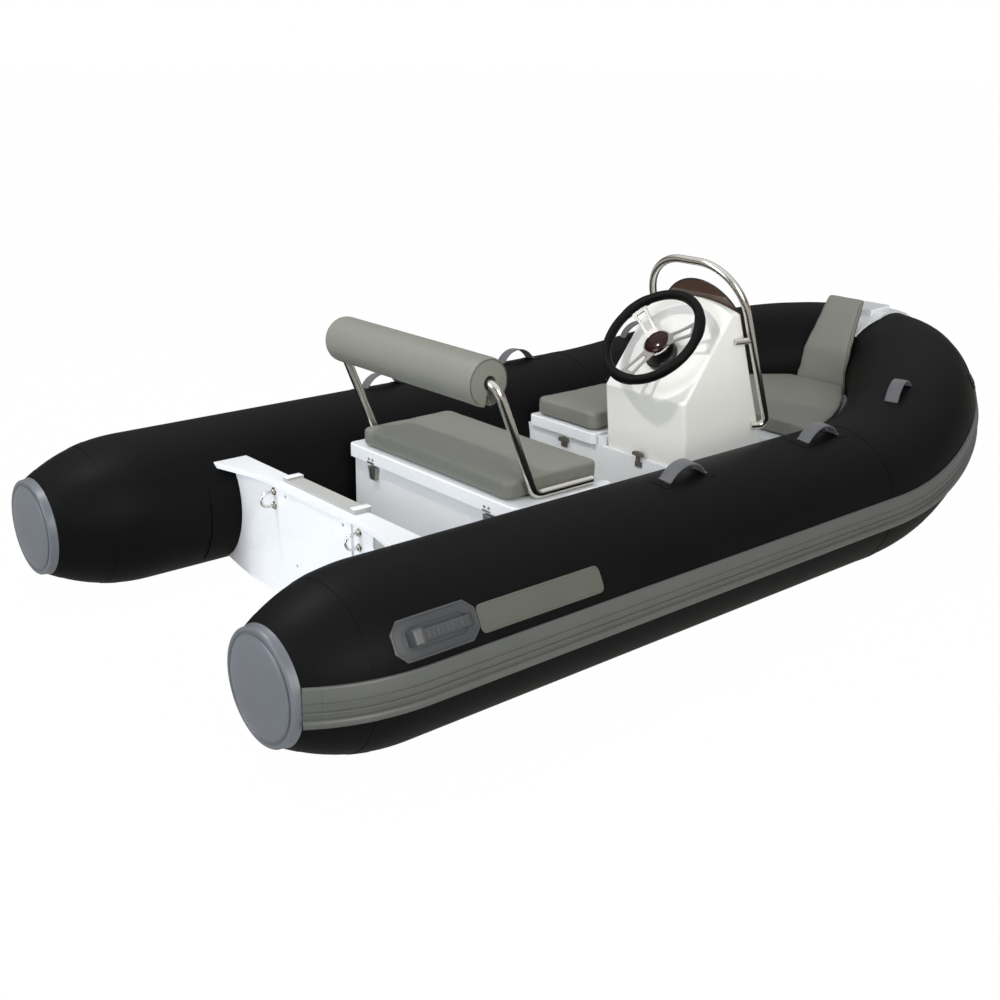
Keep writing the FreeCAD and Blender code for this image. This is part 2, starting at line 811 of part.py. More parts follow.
def console_form(inset, drop):
    """Wedge-shaped housing: side profile crossed with an arched front view."""
    base = console_bottom
    i = inset
    back = i / math.sin(dash_slope)
    front_in = i * math.sqrt(1 + front_lean ** 2)
    # where the dash's and the front wall's planes meet, above the crown
    rise = (crown_depth - back - front_in) / (1 / math.tan(dash_slope) + front_lean)
    ridge_z = crown_z + rise
    ridge_y = crown_station + rise / math.tan(dash_slope) + back
    side = face_of([
        V(-1000, console_rear + i, base - drop),
        V(-1000, knee_station + i + 0.3 * back, knee_z - 0.4 * i),
        V(-1000, ridge_y, ridge_z),
        V(-1000, console_front - front_in + front_lean * drop, base - drop)])
    prism = side.extrude(V(2000, 0, 0))
    w = console_half_width
    bottom = base - drop
    draft = 5.0
    left = V(console_x - w + i, 0, bottom)
    right = V(console_x + w - i, 0, bottom)
    top_left = V(console_x - w + draft + i, 0, dash_top_z - i)
    top_right = V(console_x + w - draft - i, 0, dash_top_z - i)
    crown = V(console_x, 0, dash_top_z + arch_rise - i)
    outline = Part.Wire([
        Part.makeLine(left, right), Part.makeLine(right, top_right),
        Part.Arc(top_right, crown, top_left).toShape(), Part.makeLine(top_left, left)])
    front = Part.Face(outline).extrude(V(0, 3000, 0))
    return prism.common(front)


def console():
    outer = console_form(0, 0)
    # the upright, the sloping and the knee edges are rounded
    edges = []
    for e in outer.Edges:
        b = e.BoundBox
        flat_bottom = b.ZMax < base_top + 1
        if not flat_bottom:
            edges.append(e)
    outer = outer.makeFillet(console_round, edges)
    inner = console_form(wall, 5)
    return outer.cut(inner)


def dash_point(along):
    """A point of the dash plane on the console's middle, measured up from the knee."""
    slope = dash_slope
    return V(console_x, knee_station + along * math.cos(slope), knee_z + along * math.sin(slope)), slope


rake = math.radians(wheel_rake)
wheel_centre = V(wheel_x, wheel_y, wheel_z)
wheel_axis = V(0, -math.sin(rake), math.cos(rake))


def shaft_meets_dash():
    point, slope = dash_point(0)
    normal = V(0, -math.sin(slope), math.cos(slope))
    reach = (wheel_centre - point).dot(normal) / wheel_axis.dot(normal)
    return wheel_centre - wheel_axis * reach, normal, reach


def helm_bezel():
    """Round housing on the dash with a boss that reaches up to the wheel's hub plate."""
    foot, normal, reach = shaft_meets_dash()
    down_dash = V(0, -math.cos(dash_slope), -math.sin(dash_slope))
    housing = Part.makeCylinder(bezel_radius, bezel_height, foot + normal * seat_gap + down_dash * bezel_drop,
                                normal)
    rim = [e for e in housing.Edges if e.CenterOfMass.sub(foot).dot(normal) > 0.9 * bezel_height]
    housing = housing.makeFillet(bezel_round, [e for e in rim if e.Closed])
    boss = Part.makeCone(boss_foot_radius, boss_top_radius, reach - hub_drop - boss_gap, foot, wheel_axis)
    return joined([housing, boss]).cut(console_form(-seat_gap, 0))


def wheel_frame(shape):
    """Moves a shape made about +Z at the origin on to the wheel's axis."""
    shape.rotate(V(0, 0, 0), X_AXIS, wheel_rake)
    shape.translate(wheel_centre)
    return shape


def steering_rim():
    rim = Part.makeTorus(wheel_radius, rim_radius, V(0, 0, 0), Z_AXIS)
    return wheel_frame(rim)


spoke_angles = [25, 145, 265]


def steering_spokes():
    """Three slotted spokes that dish down from the rim to the hub plate."""
    inner_r = hub_radius - 6
    outer_r = wheel_radius - rim_radius - seat_gap
    foot, normal, reach = shaft_meets_dash()
    boss_top = reach - hub_drop - boss_gap
    pieces = [
        Part.makeCylinder(hub_radius + 2, 5, V(0, 0, -hub_drop - 6)),
        Part.makeCylinder(shaft_radius, reach - hub_drop - 6 - boss_top - seat_gap,
                          V(0, 0, boss_top + seat_gap - reach))]
    for angle in spoke_angles:
        profile = face_of([
            V(inner_r, -24, -hub_drop - 5), V(hub_radius + 3, -24, -hub_drop - 5), V(outer_r - 26, -24, -6),
            V(outer_r, -24, -6), V(outer_r, -24, -1), V(outer_r - 28, -24, -1),
            V(hub_radius + 1, -24, -hub_drop - 1), V(inner_r, -24, -hub_drop - 1)])
        blade = profile.extrude(V(0, 48, 0))
        plan = face_of([
            V(inner_r - 4, -20, -60), V(outer_r - 12, -17, -60), V(outer_r + 4, -21, -60),
            V(outer_r + 4, 21, -60), V(outer_r - 12, 17, -60), V(inner_r - 4, 20, -60)]).extrude(Z_AXIS * 80)
        slot = face_of([
            V(hub_radius + 12, -9, -60), V(outer_r - 22, -7, -60), V(outer_r - 22, 7, -60),
            V(hub_radius + 12, 9, -60)]).extrude(Z_AXIS * 80)
        blade = blade.common(plan).cut(slot)
        keep = Part.makeCylinder(outer_r, 200, V(0, 0, -100))
        blade = blade.common(keep)
        blade.rotate(V(0, 0, 0), Z_AXIS, angle)
        pieces.append(blade)
    return wheel_frame(joined(pieces))


# Outline of the hub cap from its rim in. Columns: share of the hub's radius, share of
# the cap's height above the hub plate.
hub_outline = [(1.0, 0.2), (0.94, 0.45), (0.75, 0.75), (0.45, 0.95)]


def steering_hub():
    plate_top = -hub_drop - 1
    points = [V(0, 0, plate_top + seat_gap), V(hub_radius, 0, plate_top + seat_gap)]
    points += [V(hub_radius * a, 0, plate_top + hub_cap_height * b) for a, b in hub_outline]
    points.append(V(0, 0, plate_top + hub_cap_height))
    return wheel_frame(face_of(points).revolve(V(0, 0, 0), Z_AXIS, 360))


def lean_point(x, z, radius_shift=0):
    """A point in the grab rail's leaning plane."""
    y = rail_top_station + (rail_top - z) * math.tan(math.radians(rail_lean))
    return V(x, y + radius_shift, z)


rail_arch = rail_half_width - 37
standoff_z = 655.0


def grab_rail():
    w = rail_half_width
    side = console_half_width
    right, left = console_x + w, console_x - w
    foot_y = lean_point(0, rail_foot_z).y - 52
    foot_right = V(console_x + side + 0.3, foot_y, rail_foot_z)
    foot_left = V(console_x - side - 0.3, foot_y, rail_foot_z)
    points = [
        foot_right, lean_point(right, rail_foot_z), lean_point(right, rail_top),
        lean_point(left, rail_top), lean_point(left, rail_foot_z), foot_left]
    pipe = tube_along(points, [22, rail_arch, rail_arch, 22], rail_radius)
    posts = []
    for sign in (-1, 1):
        start = V(console_x + sign * (side - 1), dash_top_station + 22, standoff_z)
        end = lean_point(console_x + sign * w, standoff_z + 4)
        posts.append(rod(start, end, 6.5))
    whole = joined([pipe] + posts)
    return whole.cut(console_form(-0.3, 0))


def windscreen():
    """Tinted crescent that stands on the arch, in the plane of the front wall."""
    w = console_half_width - 12
    low = dash_top_z - 14
    tall = 62.0
    outer = Part.Arc(V(console_x - w, 0, low), V(console_x, 0, dash_top_z + arch_rise + tall - 4),
                     V(console_x + w, 0, low)).toShape()
    inner = Part.Arc(V(console_x - w, 0, low), V(console_x, 0, dash_top_z + arch_rise - 22),
                     V(console_x + w, 0, low)).toShape()
    sheet = Part.Face(Part.Wire([outer, inner])).extrude(V(0, 4, 0))
    hinge_line = V(0, 0, dash_top_z)
    sheet.rotate(hinge_line, X_AXIS, math.degrees(math.atan(front_lean)))
    front_y = console_front - front_lean * (dash_top_z - base_top - 0.5)
    sheet.translate(V(0, front_y + 0.4, 0))
    return sheet


latch_x_port = -218.0
latch_x_console = 120.0


def t_latch_piece(x, y, z, drop):
    """Rubber pull-down latch: a round-ended grip on a stem over a small foot plate."""
    grip = box(x - 13.5, x + 13.5, y - 4.7, y + 4.7, z - 4.5, z + 4.5)
    grip = grip.makeFillet(4, [e for e in grip.Edges if e.BoundBox.ZLength > 8])
    stem = rod(V(x, y, z), V(x, y, z - drop), 4)
    plate = box(x - 9, x + 9, y - 1.5, y + 4.7, z - drop - 8, z - drop + 8)
    return joined([grip, stem, plate])


def console_fixed_leaf(a, b):
    return box(a, b, hinge_console_y - 1.5, hinge_console_y + 1.5, base_top + seat_gap, hinge_console_z)


def console_moving_leaf(a, b):
    y = console_front + 0.4
    return box(a, b, y, hinge_console_y, hinge_console_z - 1.5, hinge_console_z + 1.5)


# ---------------------------------------------------------------- bow
bow_cushion_rear = deck_rear + 65
bow_cushion_front = tip_station - tube_radius - 84
bow_cushion_gap = 9.0
backrest_low = 120.0
backrest_high = 80.0
backrest_thickness = 30.0
backrest_foot_gap = 75.0
backrest_bend_gap = 54.0
backrest_bend_height = 150.0
backrest_top_gap = -39.0
backrest_above = 65.0
backrest_round = 9.0


def bow_cushion():
    body = box(-520, 520, bow_cushion_rear, bow_cushion_front, deck_top + 0.5, deck_top + 56)
    fat_starboard = side_tube(bow_cushion_gap)
    fat = [bow_tube(tube_radius + bow_cushion_gap), fat_starboard, mirrored(fat_starboard)]
    return max(body.cut(fat).Solids, key=lambda s: s.Volume)


def bow_backrest():
    """Tapered pad that stands up from the cushion, then leans forward over the bow tube."""
    tube_inside = tip_station - tube_radius
    bottom = deck_top + 0.5
    top = 2 * tube_radius + bow_rise + backrest_above
    front = [
        V(0, tube_inside - backrest_foot_gap, bottom),
        V(0, tube_inside - backrest_bend_gap, bottom + backrest_bend_height),
        V(0, tube_inside - backrest_top_gap, top)]
    back = [point + Y_AXIS * backrest_thickness for point in reversed(front)]
    side_on = face_of(front + back)
    side_on.translate(X_AXIS * -backrest_low)
    slab = side_on.extrude(X_AXIS * (2 * backrest_low))
    outline = face_of([
        V(-backrest_low, 0, bottom), V(backrest_low, 0, bottom),
        V(backrest_high, 0, top), V(-backrest_high, 0, top)])
    slab = slab.common(outline.extrude(Y_AXIS * (tip_station + tube_radius)))
    upright = [e for e in slab.Edges if e.BoundBox.ZLength > 100]
    return clear_of_tubes(slab.makeFillet(backrest_round, upright))


nose_end = 140.0
nose_facets = 12
nose_half_width = 105.0
nose_clear = 1.0
nose_skin = 8.0
nose_step = 16.0


def tip_polygon(radius, first, last, count):
    """Points round the tip's section whose sides lie outside a circle of that radius."""
    step = (last - first) / count
    outer = radius / math.cos(math.radians(step / 2))
    points = []
    for k in range(count + 1):
        a = math.radians(first + k * step)
        points.append(V(0, tip_station + outer * math.cos(a), tube_radius + bow_rise + outer * math.sin(a)))
    return points


def bow_nose():
    """Saddle moulding over the bow tube, with a flat step on top."""
    inner = tip_polygon(tube_radius + nose_clear, 32, nose_end, nose_facets)
    outer = tip_polygon(tube_radius + nose_clear + nose_skin, 32, nose_end, nose_facets)
    pivot = V(0, tip_centre_y, 0)
    turn = 25.0
    saddle = face_of(inner + list(reversed(outer))).revolve(pivot, Z_AXIS, turn)
    saddle = saddle.fuse(face_of(inner + list(reversed(outer))).revolve(pivot, -Z_AXIS, turn))
    fill = face_of(tip_polygon(tube_radius + nose_clear, 10, 170, 16))
    core = fill.revolve(pivot, Z_AXIS, turn).fuse(fill.revolve(pivot, -Z_AXIS, turn))
    tube_top = 2 * tube_radius + bow_rise
    aft, fore, low = tip_station - 97, tip_station + 43, tube_top - 60
    step = face_of([V(-64, aft, low), V(64, aft, low), V(52, fore, low), V(-52, fore, low)])
    step = step.extrude(Z_AXIS * (tube_top + nose_step - low))
    sides = box(-nose_half_width, nose_half_width, tip_centre_y, tip_station + 2 * tube_radius,
                bow_rise, tube_top + 2 * tube_radius)
    whole = saddle.common(sides).fuse(step.cut(core)).removeSplitter()
    return max(whole.Solids, key=lambda s: s.Volume)


os.makedirs("parts", exist_ok=True)

put("tube_starboard", tube_starboard)
put("tube_port", mirrored(tube_starboard))
put("tube_bow", tube_bow)
put("end_caps", both_sides(end_cap()))
put("rub_strake", rub_strake())
put("side_patches", both_sides(side_patch()))
put("carry_handles", both_sides(carry_handle()))
put("strap_handles", strap_handles())
put("air_valves", both_sides(air_valve()))
put("hull", hull())
put("transom", drilled(transom()))
put("transom_pad", drilled(transom_pad()))
put("u_bolts", both_sides(u_bolt(u_bolt_x)))
put("drain_cover", drain_cover())
put("transom_flaps", both_sides(transom_flap()))
put("cockpit_sole", cockpit_sole())
put("aft_locker", aft_locker())
put("aft_latches", aft_latches())
put("aft_seat_lid", aft_seat_lid())
put("aft_cushion", aft_cushion())
put("backrest_frame", backrest_frame())
put("backrest_roll", backrest_roll())
put("midship_locker", midship_locker())
put("bow_deck", bow_deck())
put("port_seat_lid", port_seat_lid())
put("port_cushion", port_cushion())
put("console", console())
put("windscreen", windscreen())
put("helm_bezel", helm_bezel())
put("steering_rim", steering_rim())
put("steering_spokes", steering_spokes())
put("steering_hub", steering_hub())
put("grab_rail", grab_rail())
put("port_latch", t_latch_piece(latch_x_port, base_rear - 5, 262, 22))
put("console_latch", t_latch_piece(latch_x_console, base_rear - 5, 296, 40))
put("bow_cushion", bow_cushion())
put("bow_backrest", bow_backrest())
put("bow_nose", bow_nose())
fixed_aft, moving_aft = hinge(-300, 300, hinge_aft_y, hinge_aft_z, aft_hinge_fixed_leaf, aft_hinge_moving_leaf)
fixed_port, moving_port = hinge(port_lid_left + 30, port_lid_right - 30, hinge_port_y, hinge_port_z,
                                port_fixed_leaf, port_moving_leaf)
fixed_console, moving_console = hinge(console_x - 130, console_x + 130, hinge_console_y, hinge_console_z,
                                      console_fixed_leaf, console_moving_leaf)
put("fixed_hinges", Part.makeCompound([fixed_aft, fixed_port, fixed_console]))
put("aft_lid_hinge", Part.makeCompound(moving_aft))
put("port_lid_hinge", Part.makeCompound(moving_port))
put("console_hinge", Part.makeCompound(moving_console))
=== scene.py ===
import bpy
import math
from mathutils import Matrix, Vector


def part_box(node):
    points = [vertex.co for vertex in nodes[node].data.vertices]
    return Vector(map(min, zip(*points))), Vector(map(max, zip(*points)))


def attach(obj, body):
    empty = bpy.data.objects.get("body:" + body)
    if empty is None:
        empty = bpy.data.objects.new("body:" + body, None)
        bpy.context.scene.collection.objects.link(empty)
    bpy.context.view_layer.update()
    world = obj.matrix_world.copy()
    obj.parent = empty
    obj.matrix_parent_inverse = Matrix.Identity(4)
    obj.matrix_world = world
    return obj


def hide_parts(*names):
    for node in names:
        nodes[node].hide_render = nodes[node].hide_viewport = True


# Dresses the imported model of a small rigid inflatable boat. Metres, +Y to the bow,
# +X to starboard, +Z up, origin on the centreline at the waterline, amidships.

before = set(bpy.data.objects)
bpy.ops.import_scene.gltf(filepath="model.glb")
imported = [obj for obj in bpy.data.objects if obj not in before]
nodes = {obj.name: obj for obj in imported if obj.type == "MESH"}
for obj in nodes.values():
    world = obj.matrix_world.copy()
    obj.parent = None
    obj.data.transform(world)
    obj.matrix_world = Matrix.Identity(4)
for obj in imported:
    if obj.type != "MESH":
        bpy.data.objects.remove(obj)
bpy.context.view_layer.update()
print("frame loaded:", len(nodes), "nodes")


# shader sums: a socket that can be added and multiplied
class Sock:
    def __init__(self, finish, socket):
        self.finish = finish
        self.socket = socket

    def __add__(self, other):
        return self.finish.maths("ADD", self, other)

    def __radd__(self, other):
        return self.finish.maths("ADD", other, self)

    def __mul__(self, other):
        return self.finish.maths("MULTIPLY", self, other)

    def __rmul__(self, other):
        return self.finish.maths("MULTIPLY", other, self)


class Finish:
    def __init__(self, name):
        self.material = bpy.data.materials.new(name)
        self.material.use_nodes = True
        self.tree = self.material.node_tree
        self.tree.nodes.clear()
        self.place = self.node("ShaderNodeTexCoord", out="Object")

    # one node: its settings first, then the values or links of its sockets
    def node(self, kind, inputs=None, out=0, stops=None, **settings):
        made = self.tree.nodes.new(kind)
        for key, value in settings.items():
            setattr(made, key, value)
        if stops:
            ramp = made.color_ramp
            ramp.elements[0].position, ramp.elements[0].color = stops[0]
            ramp.elements[1].position, ramp.elements[1].color = stops[-1]
            for position, colour in stops[1:-1]:
                ramp.elements.new(position).color = colour
        for key, value in (inputs or {}).items():
            if isinstance(value, Sock):
                self.tree.links.new(value.socket, made.inputs[key])
            else:
                made.inputs[key].default_value = value
        return Sock(self, made.outputs[out]) if len(made.outputs) else None

    def maths(self, kind, a, b):
        return self.node("ShaderNodeMath", {0: a, 1: b}, operation=kind)

    def noise(self, scale, detail, roughness=0.55, place=None):
        return self.node("ShaderNodeTexNoise", {"Vector": place or self.place, "Scale": scale,
                                                "Detail": detail, "Roughness": roughness})

    def cells(self, scale, feature="F1"):
        return self.node("ShaderNodeTexVoronoi", {"Vector": self.place, "Scale": scale}, feature=feature)

    # keeps only the part of a value between two levels, spread from 0 to 1
    def between(self, value, low, high):
        return self.node("ShaderNodeMapRange", {"Value": value, "From Min": low, "From Max": high})

    def blend(self, share, first, second):
        return self.node("ShaderNodeMix", {0: share, 6: first, 7: second}, out=2, data_type="RGBA")

    def stretched(self, scale):
        return self.node("ShaderNodeMapping", {"Vector": self.place, "Scale": scale})

    def bump(self, height, distance, strength):
        return self.node("ShaderNodeBump", {"Height": height, "Distance": distance, "Strength": strength})

    def surface(self, inputs):
        shader = self.node("ShaderNodeBsdfPrincipled", inputs)
        self.node("ShaderNodeOutputMaterial", {"Surface": shader})
        return self.material


def tone(red, green, blue):
    levels = [c / 255 for c in (red, green, blue)]
    return tuple(c / 12.92 if c <= 0.04045 else ((c + 0.055) / 1.055) ** 2.4 for c in levels) + (1,)


def darker(colour, share):
    return tuple(c * share for c in colour[:3]) + (1,)


# finishes
def tubeFabricFinish():
    look = Finish("tubeFabric")
    grain = look.noise(1100, 2)
    cloudy = look.noise(4, 3)
    weave = look.cells(850)
    scuffs = look.between(look.noise(26, 6, 0.7, look.stretched((1, 0.25, 1))), 0.62, 0.8)
    height = grain * 0.5 + weave * 0.5
    colour = look.blend(cloudy, tone(9, 9, 10), tone(15, 15, 16))
    return look.surface({
        "Base Color": look.blend(scuffs * 0.25, colour, tone(30, 30, 32)),
        "Roughness": cloudy * 0.12 + (grain * 0.1 + 0.4),
        "Specular IOR Level": 0.07,
        "Normal": look.bump(height, 0.0003, 0.5)})


def mouldedRubberFinish(name, colour, gloss):
    look = Finish(name)
    speck = 0.12
    cloudy = look.noise(9, 4)
    fine = look.noise(700, 3)
    worn = look.between(look.noise(40, 8, 0.72), 0.55, 0.85)
    shade = look.blend(cloudy, darker(colour, 1 - speck), darker(colour, 1 + speck))
    return look.surface({
        "Base Color": look.blend(worn * 0.3, shade, darker(colour, 1.35)),
        "Roughness": worn * 0.16 + (fine * 0.08 + gloss),
        "Specular IOR Level": 0.45,
        "Normal": look.bump(fine + cloudy * 0.6, 0.0002, 0.4)})


def webbingFinish(name, colour):
    look = Finish(name)
    ribs = look.node("ShaderNodeTexWave", {"Vector": look.stretched((1, 1, 1)), "Scale": 260.0,
                                           "Distortion": 0.4}, bands_direction="Y")
    fuzz = look.noise(1400, 2)
    return look.surface({
        "Base Color": look.blend(ribs * 0.4 + fuzz * 0.3, darker(colour, 0.8), darker(colour, 1.2)),
        "Roughness": fuzz * 0.2 + 0.5,
        "Sheen Weight": 0.15,
        "Normal": look.bump(ribs + fuzz * 0.4, 0.0004, 0.6)})


def gelcoatFinish(name, colour, dull=0.0):
    look = Finish(name)
    peel = look.noise(130, 2)
    cloudy = look.noise(3.5, 3)
    grime = look.between(look.noise(22, 8, 0.75), 0.5, 0.95)
    tinted = look.blend(cloudy, darker(colour, 0.97), darker(colour, 1.0))
    return look.surface({
        "Base Color": look.blend(grime * 0.18, tinted, darker(colour, 0.86)),
        "Roughness": grime * 0.14 + (0.24 + dull),
        "Coat Weight": 0.35,
        "Coat Roughness": 0.08,
        "Normal": look.bump(peel, 0.0006, 0.25)})


def soleGripFinish():
    look = Finish("soleGrip")
    waves = []
    for way in ("X", "Y"):
        slant = look.node("ShaderNodeMapping", {"Vector": look.place, "Rotation": (0, 0, math.pi / 4)})
        waves.append(look.node("ShaderNodeTexWave", {"Vector": slant, "Scale": 36.0},
                               bands_direction=way, wave_profile="TRI"))
    studs = look.maths("MINIMUM", *waves)
    dirt = look.noise(18, 7, 0.7)
    return look.surface({
        # the colour darkens towards the foot of each stud, which is painted shade in the grooves; the dirt
        # noise mixed in is real dirt
        "Base Color": look.blend(studs * 0.5 + dirt * 0.5, tone(196, 197, 194), tone(226, 226, 222)),
        "Roughness": dirt * 0.2 + 0.45,
        "Normal": look.bump(look.between(studs, 0.15, 0.4), 0.0012, 0.8)})


def vinylFinish():
    look = Finish("cushionVinyl")
    leather = look.cells(520, "DISTANCE_TO_EDGE")
    creases = look.between(leather, 0.0, 0.25)
    pores = look.noise(900, 2)
    cloudy = look.noise(7, 4)
    colour = look.blend(cloudy, tone(119, 120, 112), tone(129, 130, 121))
    return look.surface({
        # the grain's creases are painted darker than the rest of the vinyl: painted shade in the creases
        "Base Color": look.blend(creases, darker(tone(119, 120, 112), 0.86), colour),
        "Roughness": pores * 0.14 + (cloudy * 0.1 + 0.36),
        "Specular IOR Level": 0.42,
        "Sheen Weight": 0.06,
        "Normal": look.bump(creases + pores * 0.25, 0.00025, 0.55)})


def threadFinish():
    look = Finish("seamThread")
    twist = look.noise(2200, 2)
    return look.surface({
        "Base Color": look.blend(twist, tone(62, 63, 58), tone(92, 93, 86)),
        "Roughness": twist * 0.2 + 0.55,
        "Normal": look.bump(twist, 0.0002, 0.5)})


def steelFinish(name, colour, rough, brush):
    look = Finish(name)
    fine = look.noise(1600, 2)
    smears = look.noise(14, 5, 0.65)
    spots = look.between(look.noise(90, 6, 0.7), 0.6, 0.8)
    return look.surface({
        "Base Color": look.blend(spots * 0.35 + smears * 0.2, colour, darker(colour, 0.72)),
        "Metallic": 1.0,
        "Roughness": smears * 0.1 + (fine * brush + rough),
        "Normal": look.bump(fine, 0.00005, 0.08)})


def wheelGripFinish():
    look = Finish("wheelGrip")
    leather = look.cells(900, "DISTANCE_TO_EDGE")
    soft = look.noise(60, 4)
    return look.surface({
        "Base Color": look.blend(soft, tone(2, 2, 3), tone(5, 5, 5)),
        "Roughness": soft * 0.2 + 0.38,
        "Specular IOR Level": 0.12,
        "Normal": look.bump(look.between(leather, 0.0, 0.3), 0.0002, 0.5)})


def hubGlossFinish():
    look = Finish("hubGloss")
    figure = look.noise(55, 6, 0.7, look.stretched((1, 3, 3)))
    return look.surface({
        "Base Color": look.blend(look.between(figure, 0.35, 0.75), tone(20, 4, 5), tone(50, 12, 11)),
        "Roughness": figure * 0.08 + 0.14,
        "Specular IOR Level": 0.2,
        "Coat Weight": 0.12,
        "Coat Roughness": 0.03})


def blackPlasticFinish():
    look = Finish("blackPlastic")
    spark = look.noise(800, 2)
    soft = look.noise(20, 4)
    return look.surface({
        "Base Color": look.blend(soft, tone(12, 12, 13), tone(24, 24, 25)),
        "Roughness": soft * 0.15 + (spark * 0.1 + 0.28),
        "Normal": look.bump(spark, 0.00015, 0.4)})


def tintedScreenFinish():
    look = Finish("tintedScreen")
    haze = look.noise(18, 5, 0.7, look.stretched((1, 1, 0.2)))
    return look.surface({
        "Base Color": look.blend(haze, tone(52, 34, 26), tone(88, 62, 48)),
        "Roughness": haze * 0.12 + 0.06,
        "Alpha": haze * 0.06 + 0.86,
        "Coat Weight": 0.6,
        "Coat Roughness": 0.04})


rubbers = {  # colour, roughness
    "capRubber": ((95, 99, 105), 0.34), "strakeRubber": ((82, 84, 82), 0.38),
    "patchRubber": ((84, 85, 78), 0.36), "handleRubber": ((62, 64, 67), 0.34),
    "latchRubber": ((92, 86, 78), 0.4), "motorPad": ((172, 173, 170), 0.42)}
steels = {  # colour, roughness, brushed share
    "polishedSteel": ((0.72, 0.70, 0.65, 1), 0.13, 0.03), "castSteel": ((0.40, 0.39, 0.38, 1), 0.46, 0.05),
    "dullSteel": ((0.36, 0.35, 0.33, 1), 0.3, 0.1)}
finishes = {
    "tubeFabric": tubeFabricFinish(),
    "strapWeb": webbingFinish("strapWeb", tone(84, 85, 89)),
    "gelcoat": gelcoatFinish("gelcoat", tone(238, 240, 243)),
    "creamGelcoat": gelcoatFinish("creamGelcoat", tone(238, 238, 234), 0.04),
    "soleGrip": soleGripFinish(),
    "cushionVinyl": vinylFinish(),
    "seamThread": threadFinish(),
    "wheelGrip": wheelGripFinish(),
    "hubGloss": hubGlossFinish(),
    "blackPlastic": blackPlasticFinish(),
    "tintedScreen": tintedScreenFinish(),
}
for name, (colour, rough) in rubbers.items():
    finishes[name] = mouldedRubberFinish(name, tone(*colour), rough)
for name, (colour, rough, brush) in steels.items():
    finishes[name] = steelFinish(name, colour, rough, brush)
print("finishes made:", len(finishes))


# making pieces
merging = {"distance": 0.00002, "flatTo": 0.5}


def clearSelection():
    if bpy.context.object and bpy.context.object.mode != "OBJECT":
        bpy.ops.object.mode_set(mode="OBJECT")
    bpy.ops.object.select_all(action="DESELECT")


def editAll():
    bpy.ops.object.mode_set(mode="EDIT")
    bpy.ops.mesh.select_all(action="SELECT")


def endEdit():
    bpy.ops.object.mode_set(mode="OBJECT")


def turnOutward():  # every face, and edit mode ends
    bpy.ops.mesh.select_all(action="SELECT")
    bpy.ops.mesh.normals_make_consistent(inside=False)
    bpy.ops.object.mode_set(mode="OBJECT")


def extrudeBy(x, y, z):
    bpy.ops.mesh.extrude_region_move(TRANSFORM_OT_translate={"value": (x, y, z)})


def pick(piece, *others):
    clearSelection()
    for each in (piece, *others):
        each.select_set(True)
    bpy.context.view_layer.objects.active = piece
    return piece


def unmark(mesh):
    for group in (mesh.vertices, mesh.edges, mesh.polygons):
        for each in group:
            each.select = False


# faces are selected by a test on their middle and normal, edges by one on their two ends
def selectFaces(piece, test):
    endEdit()
    unmark(piece.data)
    for face in piece.data.polygons:
        face.select = bool(test(face.center, face.normal))
    bpy.ops.object.mode_set(mode="EDIT")
    bpy.ops.mesh.select_mode(type="FACE")


def selectEdges(piece, test):
    endEdit()
    unmark(piece.data)
    for edge in piece.data.edges:
        a, b = (piece.data.vertices[k].co for k in edge.vertices)
        edge.select = bool(test(a, b))
    bpy.ops.object.mode_set(mode="EDIT")
    bpy.ops.mesh.select_mode(type="EDGE")


def roundEdges(piece, test, offset, segments):
    selectEdges(piece, test)
    bpy.ops.mesh.bevel(offset=offset, segments=segments)
    endEdit()


def modify(piece, kind, **settings):
    pick(piece)
    step = piece.modifiers.new(kind.lower(), kind)
    for key, value in settings.items():
        setattr(step, key, value)
    bpy.ops.object.modifier_apply(modifier=step.name)
    return piece


def soften(piece, width, segments, angle=30):
    return modify(piece, "BEVEL", width=width, segments=segments, limit_method="ANGLE",
                  angle_limit=math.radians(angle))


def smooth(piece, angle=32):
    pick(piece)
    bpy.ops.object.shade_smooth_by_angle(angle=math.radians(angle))
    return piece


# flat faces stay flat to the eye: their normals follow the largest face at each corner
def crisp(piece, angle=32):
    smooth(piece, angle)
    return modify(piece, "WEIGHTED_NORMAL", mode="FACE_AREA", weight=90, keep_sharp=True)


def newest(name):
    piece = bpy.context.object
    piece.name = name
    piece.data.name = name
    return piece


def settle(piece):
    pick(piece)
    bpy.ops.object.transform_apply(location=True, rotation=True, scale=True)
    return piece


def addBlock(name, middle, size):
    clearSelection()
    bpy.ops.mesh.primitive_cube_add(size=1, location=middle)
    piece = newest(name)
    piece.scale = size
    return settle(piece)


# a turned piece: outline of (radius, distance along the axis) from its first ring on
def addTurned(name, start, axis, outline, sides):
    clearSelection()
    radius, along = outline[0]
    bpy.ops.mesh.primitive_circle_add(vertices=sides, radius=radius, location=(0, 0, along),
                                      fill_type="NGON")
    piece = newest(name)
    settle(piece)
    editAll()
    for nextRadius, nextAlong in outline[1:]:
        extrudeBy(0, 0, nextAlong - along)
        share = nextRadius / radius
        bpy.ops.transform.resize(value=(share, share, 1), center_override=(0, 0, nextAlong))
        radius, along = nextRadius, nextAlong
    turnOutward()
    piece.rotation_mode = "QUATERNION"
    piece.rotation_quaternion = Vector(axis).to_track_quat("Z", "Y")
    piece.location = start
    return settle(piece)


def makeCurve(name, points, closed, radii=None):
    curve = bpy.data.curves.new(name, "CURVE")
    curve.dimensions = "3D"
    curve.twist_mode = "Z_UP"
    run = curve.splines.new("POLY")
    run.points.add(len(points) - 1)
    for k, point in enumerate(points):
        run.points[k].co = (*point, 1)
        run.points[k].radius = radii[k] if radii else 1
    run.use_cyclic_u = closed
    made = bpy.data.objects.new(name, curve)
    bpy.context.scene.collection.objects.link(made)
    return made


def toMesh(piece):
    pick(piece)
    bpy.ops.object.convert(target="MESH")
    piece = bpy.context.object
    editAll()
    bpy.ops.mesh.remove_doubles(threshold=merging["distance"])
    turnOutward()
    return piece


